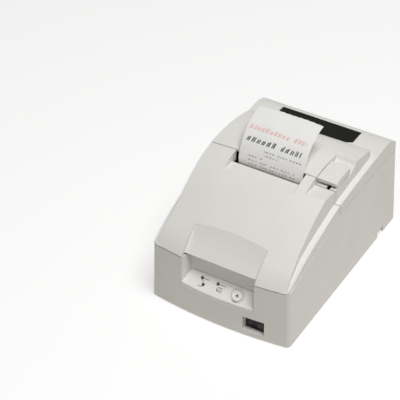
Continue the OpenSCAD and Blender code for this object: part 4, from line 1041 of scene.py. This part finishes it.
@dataclass
class PaperStrip:
    """The printed strip that stands out of the slot and curls back.

    Its sizes are in millimetres. The side curve is given as points (y, z), with two arcs between
    the bend, the middle and the end that rise above their chords by the bulges.
    """

    foot: Flat = (-14.0, 106.3)
    bend: Flat = (-16.2, 131.5)
    middle: Flat = (0.0, 156.5)
    end: Flat = (34.0, 168.5)
    bulges: Flat = (2.2, 3.0)
    left: float = -40.5
    width: float = 76.0
    lean: float = 3.3
    lean_foot: float = 18.0
    flat_foot: float = 30.0
    bow: float = 0.9
    ripple: float = 0.25
    ripple_waves: Flat = (0.16, 0.05)
    slope_step: float = 0.5
    thick: float = 0.1
    ink_lift: float = 0.03
    tooth: float = 2.26
    tooth_depth: float = 0.75
    tear: Flat = (0.25, 0.9)
    rows: int = 120
    columns: int = 136
    lower_points: int = 16
    samples: int = 600
    smoothing: int = 20
    stroke_rows: int = 4
    seed: int = 7
    stroke_step: float = 1.55
    pair_gap: float = 1.3
    group_gap: float = 3.2
    least_height: float = 0.62
    red_rows: tuple[StrokeRow, ...] = (StrokeRow(-35.0, 31.0, 32.4, 5.4, (0.8, 1.4), 1.4, 20),)
    black_rows: tuple[StrokeRow, ...] = (StrokeRow(-33.5, 30.0, 45.4, 6.2, (1.0, 1.5), 1.6, 12),)
    grey_rows: tuple[StrokeRow, ...] = (
        StrokeRow(-10.5, 33.0, 52.2, 1.8, (0.5, 1.0), 0.4, 8),
        StrokeRow(-8.5, 6.0, 56.2, 1.6, (0.5, 1.0), 0.4, 8),
        StrokeRow(-27.0, -12.0, 60.8, 1.8, (0.5, 1.1), 0.4, 6),
        StrokeRow(-27.0, 27.0, 65.0, 1.8, (0.5, 1.1), 0.4, 6),
        StrokeRow(-26.0, 28.0, 69.6, 1.8, (0.5, 1.1), 0.4, 6),
    )
    line: np.ndarray = field(init=False)
    run: np.ndarray = field(init=False)

    def __post_init__(self) -> None:
        """Works out the side curve of the strip, smoothed where its stretches meet, and the length along it."""
        foot, bend, middle, end = (np.array(p) for p in (self.foot, self.bend, self.middle, self.end))
        lower = foot + (bend - foot) * np.linspace(0.0, 1.0, self.lower_points)[:, None]
        arcs = [arc_points(bend, middle, self.bulges[0])[1:], arc_points(middle, end, self.bulges[1])[1:]]
        line = np.concatenate([lower, *arcs])
        run = run_along(line)
        dense = np.linspace(0.0, run[-1], self.samples)
        even = np.stack([np.interp(dense, run, line[:, k]) for k in (0, 1)], 1)
        reach = self.smoothing
        window = np.hanning(2 * reach + 1) / np.hanning(2 * reach + 1).sum()
        before, after = 2 * even[:1] - even[reach:0:-1], 2 * even[-1:] - even[-2:-reach - 2:-1]
        padded = np.concatenate([before, even, after])
        self.line = np.stack([np.convolve(padded[:, k], window, "valid") for k in (0, 1)], 1)
        self.run = run_along(self.line)

    def side(self, along: np.ndarray) -> list[np.ndarray]:
        """Returns y and z of the side curve at a length along it."""
        return [np.interp(along, self.run, self.line[:, k]) for k in (0, 1)]

    def surface(self, across: np.ndarray, along: np.ndarray, lift: float) -> np.ndarray:
        """Returns points of the strip's face, in metres.

        The side curve (y, z) is read at the length along, and the point is (x, y, z) + off n with n
        the curve's normal and off = lift - bow (2 across / width)^2 rise^2 plus a small ripple. The
        rise goes from 0 at the flat foot to 1 at the top, and the strip's foot stands further right
        than its top by the lean.

        Args:
            across: Distance from the middle of the strip, in millimetres.
            along: Distance from the strip's foot, in millimetres.
            lift: Distance off the middle of the sheet, to its printed side, in millimetres.
        """
        y, z = self.side(along)
        ahead, behind = self.side(along + self.slope_step), self.side(along - self.slope_step)
        dy, dz = ahead[0] - behind[0], ahead[1] - behind[1]
        size = np.hypot(dy, dz)
        length = self.run[-1]
        rise = np.clip((along - self.flat_foot) / (length - self.flat_foot), 0.0, 1.0)
        bow = -self.bow * (2.0 * across / self.width) ** 2 * rise ** 2
        wide_wave, long_wave = self.ripple_waves
        off = lift + (bow + self.ripple * np.sin(across * wide_wave + along * long_wave) * rise)
        shift = self.lean * np.clip((length - along) / (length - self.lean_foot), 0.0, 1.0)
        x = self.left + self.width / 2 + across + shift
        return np.stack([x, y - dz / size * off, z + dy / size * off], -1).reshape(-1, 3) * MM

    def sheet(self) -> Piece:
        """Returns the sheet, with the torn teeth of its top edge."""
        across = np.linspace(-self.width / 2, self.width / 2, self.columns)
        saw = np.abs(((across - across[0]) / self.tooth) % 1.0 - 0.5) * 2.0
        top = self.run[-1] - self.tooth_depth * saw - self.tear[0] * np.sin(across * self.tear[1])
        share = np.linspace(0.0, 1.0, self.rows)[:, None]
        u, v = np.broadcast_to(across, (self.rows, self.columns)), share * top[None, :]
        points = np.concatenate([self.surface(u, v, side * self.thick / 2) for side in (1, -1)])
        size = self.rows * self.columns
        index = np.arange(size).reshape(self.rows, self.columns)
        rim = np.concatenate([index[0], index[1:, -1], index[-1, -2::-1], index[-2:0:-1, 0]])
        after = np.roll(rim, -1)
        faces = grid_faces(self.rows, self.columns) + grid_faces(self.rows, self.columns, size, True)
        faces += np.stack([after, rim, rim + size, after + size], 1).tolist()
        mesh = mesh_from("printed_strip", points, faces)
        piece = link_mesh("printed_strip", mesh, "roll_cover", PAPER)
        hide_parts("paper_strip")
        return piece

    def print_row(self, ink: Marks, row: StrokeRow, rng: np.random.Generator) -> None:
        """Adds one row of strokes in pairs and groups, which follow the sheet.

        Args:
            ink: Where the strokes go.
            row: The row's sizes.
            rng: The seeded source of widths and heights.
        """
        x, count = row.start, 0
        steps = np.linspace(0.0, 1.0, self.stroke_rows)
        while x < row.stop:
            wide = rng.uniform(*row.widths)
            tall = row.height * rng.uniform(self.least_height, 1.0)
            u = np.stack([x + row.slant * steps, x + wide + row.slant * steps], 1)
            v = self.run[-1] - row.level + np.stack([tall * steps, tall * steps], 1)
            ink.add(self.surface(u, v, self.thick / 2 + self.ink_lift), grid_faces(self.stroke_rows, 2))
            count += 1
            pair_gap = wide * self.pair_gap if count % 2 == 0 else 0.0
            group_gap = wide * self.group_gap if count % row.group == 0 else 0.0
            x += wide * self.stroke_step + pair_gap + group_gap

    def build(self) -> list[Piece]:
        """Returns the sheet and its red, black and grey rows of plain strokes."""
        rng = np.random.default_rng(self.seed)
        pieces = [self.sheet()]
        for name, rows, finish in (("strip_red_row", self.red_rows, RED_INK),
                                   ("strip_black_row", self.black_rows, BLACK_INK),
                                   ("strip_grey_rows", self.grey_rows, GREY_INK)):
            ink = Marks()
            for row in rows:
                self.print_row(ink, row, rng)
            pieces.append(ink.piece(name, "roll_cover", "paper", finish))
        return pieces


@dataclass
class PaperRoll:
    """The roll of paper on its card core, wound a little unevenly. Its sizes are in metres."""

    turns: int = 26
    steps: int = 96
    skin: float = 0.0001
    end_gap: float = 0.00015
    rim_gap: float = 0.0002
    wander: float = 0.00012
    sag: float = 0.0012
    lobes: int = 3
    drift: float = 400.0
    pitch: float = 0.00075
    seed: int = 3

    def build(self) -> list[Piece]:
        """Returns the wound roll.

        A ring of its surface with the radius r stands r (1 - sag (1 + cos(lobes a + drift r))) off
        the axis at the angle a, and its ends step in and out by the wander from layer to layer.
        """
        low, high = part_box("paper_roll")
        core_low, core_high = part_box("roll_core")
        centre = ((low.y + high.y) / 2, (low.z + high.z) / 2)
        outer = (high.z - low.z) / 2 - self.skin
        inner = (core_high.z - core_low.z) / 2
        rng = np.random.default_rng(self.seed)
        radii = np.linspace(inner, outer, self.turns)
        ends = rng.uniform(-self.wander, self.wander, self.turns)
        left = np.stack([radii, low.x + self.end_gap + ends], 1)
        right = np.stack([radii, high.x - self.end_gap + ends], 1)
        profile = np.concatenate([[(inner, left[0, 1])], left, [(outer, high.x - self.rim_gap)], right[::-1]])
        angle = np.linspace(0.0, 2 * math.pi, self.steps, endpoint=False)
        radius = profile[:, :1]
        off = radius * (1.0 - self.sag * (1.0 + np.cos(self.lobes * angle + radius * self.drift)))
        x = np.broadcast_to(profile[:, 1:], off.shape)
        points = np.stack([x, centre[0] + off * np.sin(angle), centre[1] + off * np.cos(angle)], -1)
        index = np.arange(off.size).reshape(off.shape)
        ahead = np.roll(index, -1, 0)
        faces = np.stack([index, ahead, np.roll(ahead, -1, 1), np.roll(index, -1, 1)], -1)
        finish = Wound("wound_paper", (0.9, 0.9, 0.885), (0.72, 0.72, 0.7), centre=(0.0, *centre), pitch=self.pitch)
        mesh = mesh_from("wound_roll", points.reshape(-1, 3), faces.reshape(-1, 4).tolist())
        piece = link_mesh("wound_roll", mesh, "paper_roll", finish)
        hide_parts("paper_roll")
        return [piece]


@dataclass(frozen=True)
class SpringRow:
    """A row of contact springs in a square socket, in millimetres from its front and middle."""

    node: str
    count: int
    depths: Flat
    height: float


@dataclass
class SocketContacts:
    """Contacts inside the three sockets at the back of the bay, in millimetres."""

    rows: tuple[SpringRow, ...] = (
        SpringRow("interface_socket", 8, (2.1, 8.5), 1.2),
        SpringRow("drawer_jack", 6, (4.1, 10.0), 2.2),
    )
    chamfer: float = 0.06
    pitch: float = 1.27
    half: float = 0.25
    thick: float = 0.5
    pin_depths: Flat = (4.1, 11.0)
    pin_circle: float = 3.2
    pin_half: float = 0.5
    pin_angles: Point = (90.0, 210.0, 330.0)

    @staticmethod
    def mouth(node: str) -> Point:
        """Returns a socket's middle, front and half height, in millimetres."""
        low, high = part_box(node)
        return (low.x + high.x) / 2 / MM, low.y / MM, (low.z + high.z) / 2 / MM

    def build(self) -> list[Piece]:
        """Returns the gilt springs of the two square sockets and the pins of the round one."""
        gilt = Blocks(self.chamfer)
        for row in self.rows:
            middle, y, z = self.mouth(row.node)
            for i in range(row.count):
                x = middle + (i - (row.count - 1) / 2) * self.pitch
                gilt.block((x - self.half, y + row.depths[0], z + row.height),
                           (x + self.half, y + row.depths[1], z + row.height + self.thick))
        middle, y, z = self.mouth("dc_inlet")
        for angle in np.radians(self.pin_angles):
            x, up = middle + self.pin_circle * math.cos(angle), z + self.pin_circle * math.sin(angle)
            gilt.block((x - self.pin_half, y + self.pin_depths[0], up - self.pin_half),
                       (x + self.pin_half, y + self.pin_depths[1], up + self.pin_half))
        return [gilt.piece("socket_contacts", "base", "brass", GOLD)]


@dataclass
class BoardDetail:
    """Leads and small parts on the main board, in millimetres.

    The parts stand in rows, each given as the place of its first, their step and their number, and
    none stands behind the clear front within the reach of a clear side.
    """

    chips: tuple[tuple[float, float, float, float], ...] = ((-30.0, -8.0, -60.0, -38.0), (8.0, 22.0, -58.0, -46.0))
    pitch: float = 1.5
    lead_inset: float = 1.2
    lead_size: Point = (0.5, 1.5, 0.7)
    parts: int = 26
    back_parts: int = 15
    back_rows: tuple[float, float, int] = (-33.0, 3.0, 5)
    front_rows: tuple[float, float, int] = (-66.5, 2.6, 2)
    spread: float = 34.0
    seed: int = 11
    chamfers: Point = (0.04, 0.05, 0.08)
    part_half: Flat = (0.8, 0.6)
    part_height: float = 0.55
    cap_width: float = 0.45
    cap_height: float = 0.58
    clear_sides: Flat = (-40.0, 34.0)
    clear_reach: float = 7.0
    clear_front: float = -30.0

    def build(self) -> list[Piece]:
        """Returns the chip leads, the small parts and their end caps."""
        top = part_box("main_board")[1].z / MM
        leads, caps, bodies = (Blocks(chamfer) for chamfer in self.chamfers)
        wide, out, tall = self.lead_size
        for x0, x1, y0, y1 in self.chips:
            for i in range(int((x1 - x0) / self.pitch) - 1):
                x = x0 + self.lead_inset + i * self.pitch
                for near, far in ((y0 - out, y0), (y1, y1 + out)):
                    leads.block((x, near, top), (x + wide, far, top + tall))
        rng = np.random.default_rng(self.seed)
        half, deep = self.part_half
        for i in range(self.parts):
            x = rng.uniform(-self.spread, self.spread)
            first, step, rows = self.back_rows if i < self.back_parts else self.front_rows
            y = first + (i % rows) * step
            if min(abs(x - side) for side in self.clear_sides) < self.clear_reach and y > self.clear_front:
                continue
            bodies.block((x - half, y - deep, top), (x + half, y + deep, top + self.part_height))
            for side in (-half - self.cap_width, half):
                caps.block((x + side, y - deep, top), (x + side + self.cap_width, y + deep, top + self.cap_height))
        return [
            leads.piece("chip_leads", "base", "steel", ZINC),
            bodies.piece("small_parts", "base", "black_plastic", DARK),
            caps.piece("solder_caps", "base", "steel", ZINC),
        ]


@dataclass
class PackedNodes:
    """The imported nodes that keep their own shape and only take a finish."""

    def dress(self, nodes: dict[str, Piece]) -> None:
        """Gives each node the finish of its material slot.

        Args:
            nodes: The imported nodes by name.
        """
        for name, piece in sorted(nodes.items()):
            slots = [slot.material.name.split(".")[0] for slot in piece.material_slots if slot.material]
            finish = SLOT_FINISHES[slots[0]]
            for slot in piece.material_slots:
                slot.material = RACK.get(finish)
            LOG.info("dressed %s in %s", name, finish.name)


# ---------------------------------------------------------------- studio


@dataclass
class Studio:
    """The camera, the pale floor, the lamp and the white surroundings."""

    camera_place: Point = (0.627618, -1.160327, 1.149857)
    camera_right: Point = (0.85468885, 0.51893622, -0.01456611)
    camera_up: Point = (-0.31751606, 0.54473606, 0.77617407)
    camera_back: Point = (0.41071952, -0.65876235, 0.63035042)
    lens: float = 143.8
    sensor: float = 36.0
    clip: Flat = (0.05, 20.0)
    floor_radii: tuple[float, ...] = (0.3, 1.0, 3.0, 8.0)
    floor_steps: int = 48
    floor_cells: float = 9.0
    floor_tints: tuple[Rgb, Rgb] = ((0.82, 0.79, 0.75), (0.8, 0.77, 0.73))
    floor_pale: Rgb = (0.5, 0.5, 0.5)
    floor_rough: float = 0.4
    floor_glow: float = 0.58
    ambient: float = 0.18
    ambient_tint: Rgb = (1.0, 0.965, 0.92)
    key_place: Point = (0.658, -0.36, 2.068)
    key_aim: Point = (0.0, 0.0, 0.06)
    key_power: float = 33.5
    key_size: float = 1.1

    def build(self) -> None:
        """Sets up everything round the object."""
        self.camera()
        self.floor()
        self.key_lamp()
        self.surroundings()

    def camera(self) -> None:
        """Places the camera where the photograph was taken from."""
        data = bpy.data.cameras.new("view")
        data.lens, data.sensor_width = self.lens, self.sensor
        data.clip_start, data.clip_end = self.clip
        camera = bpy.data.objects.new("view", data)
        axes = Matrix((self.camera_right, self.camera_up, self.camera_back)).transposed()
        camera.matrix_world = Matrix.Translation(self.camera_place) @ axes.to_4x4()
        bpy.context.scene.collection.objects.link(camera)
        bpy.context.scene.camera = camera

    def floor(self) -> None:
        """Makes a wide round floor: rings of points (r cos a, r sin a, 0) round a middle disc."""
        steps = self.floor_steps
        angle = np.linspace(0.0, 2 * math.pi, steps, endpoint=False)
        ring = np.stack([np.cos(angle), np.sin(angle), 0 * angle], 1)
        points = np.concatenate([radius * ring for radius in self.floor_radii])
        index = np.arange(len(points)).reshape(-1, steps)
        after = np.roll(index, -1, 1)
        bands = np.stack([index[1:], after[1:], after[:-1], index[:-1]], -1).reshape(-1, 4)
        floor = bpy.data.objects.new("floor", mesh_from("floor", points, [*bands.tolist(), range(steps)], False))
        bpy.context.scene.collection.objects.link(floor)
        floor.data.materials.append(self.floor_finish())
        floor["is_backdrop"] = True

    def floor_finish(self) -> bpy.types.Material:
        """Returns matt white board, lifted to white for the camera and clear from below."""
        material = bpy.data.materials.new("white_floor")
        material.use_nodes = True
        material.node_tree.nodes.clear()
        bench = Bench(material.node_tree)
        where = bench.add("ShaderNodeTexCoord").outputs["Object"]
        cloud = bench.tint(bench.noise(where, self.floor_cells, 4.0), *self.floor_tints)
        matt = bench.add("ShaderNodeBsdfDiffuse", {"Color": cloud, "Roughness": self.floor_rough})
        pale = bench.add("ShaderNodeBsdfDiffuse", {"Color": self.floor_pale})
        glow = bench.add("ShaderNodeEmission", {"Color": (1.0, 1.0, 1.0), "Strength": self.floor_glow})
        lifted = bench.join(bench.add("ShaderNodeAddShader"), pale, glow)
        above = bench.join(bench.add("ShaderNodeMixShader", {"Fac": bench.seen()}), matt, lifted)
        below = bench.add("ShaderNodeNewGeometry").outputs["Backfacing"]
        clear = bench.add("ShaderNodeBsdfTransparent")
        board = bench.join(bench.add("ShaderNodeMixShader", {"Fac": below}), above, clear)
        bench.feed(bench.add("ShaderNodeOutputMaterial").inputs["Surface"], board.outputs[0])
        return material

    def key_lamp(self) -> None:
        """Hangs one large soft lamp high on the right."""
        data = bpy.data.lights.new("key", "AREA")
        data.shape, data.size, data.energy = "DISK", self.key_size, self.key_power
        lamp = bpy.data.objects.new("key", data)
        turn = (Vector(self.key_aim) - Vector(self.key_place)).to_track_quat("-Z", "Y")
        lamp.matrix_world = Matrix.Translation(self.key_place) @ turn.to_matrix().to_4x4()
        bpy.context.scene.collection.objects.link(lamp)

    def surroundings(self) -> None:
        """Makes the surroundings white to look at, and plain soft light for the object."""
        world = bpy.data.worlds.new("studio")
        world.use_nodes = True
        world.node_tree.nodes.clear()
        bench = Bench(world.node_tree)
        soft = bench.add("ShaderNodeBackground", {"Color": self.ambient_tint, "Strength": self.ambient})
        white = bench.add("ShaderNodeBackground", {"Color": (1.0, 1.0, 1.0), "Strength": 1.0})
        sky = bench.join(bench.add("ShaderNodeMixShader", {"Fac": bench.seen()}), soft, white)
        bench.feed(bench.add("ShaderNodeOutputWorld").inputs["Surface"], sky.outputs[0])
        bpy.context.scene.world = world
        bpy.context.scene.view_settings.view_transform = "Standard"


def corners() -> list[list[float]]:
    """Returns the shown object's lowest and highest corner as plain lists."""
    return [[float(value) for value in corner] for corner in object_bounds()]


def main() -> None:
    """Builds the object's pieces in order and reports each."""
    logging.basicConfig(level=logging.INFO, format="%(name)s: %(message)s")
    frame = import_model()
    PackedNodes().dress(frame["nodes"])
    parts = (Shells(), TopFittings(), ControlPanel(), PowerSwitch(), PaperStrip(), PaperRoll(),
             SocketContacts(), BoardDetail())
    for part in parts:
        for piece in part.build():
            LOG.info("%s: %s", type(part).__name__, piece.name)
    Studio().build()


if __name__ == "__main__":
    main()
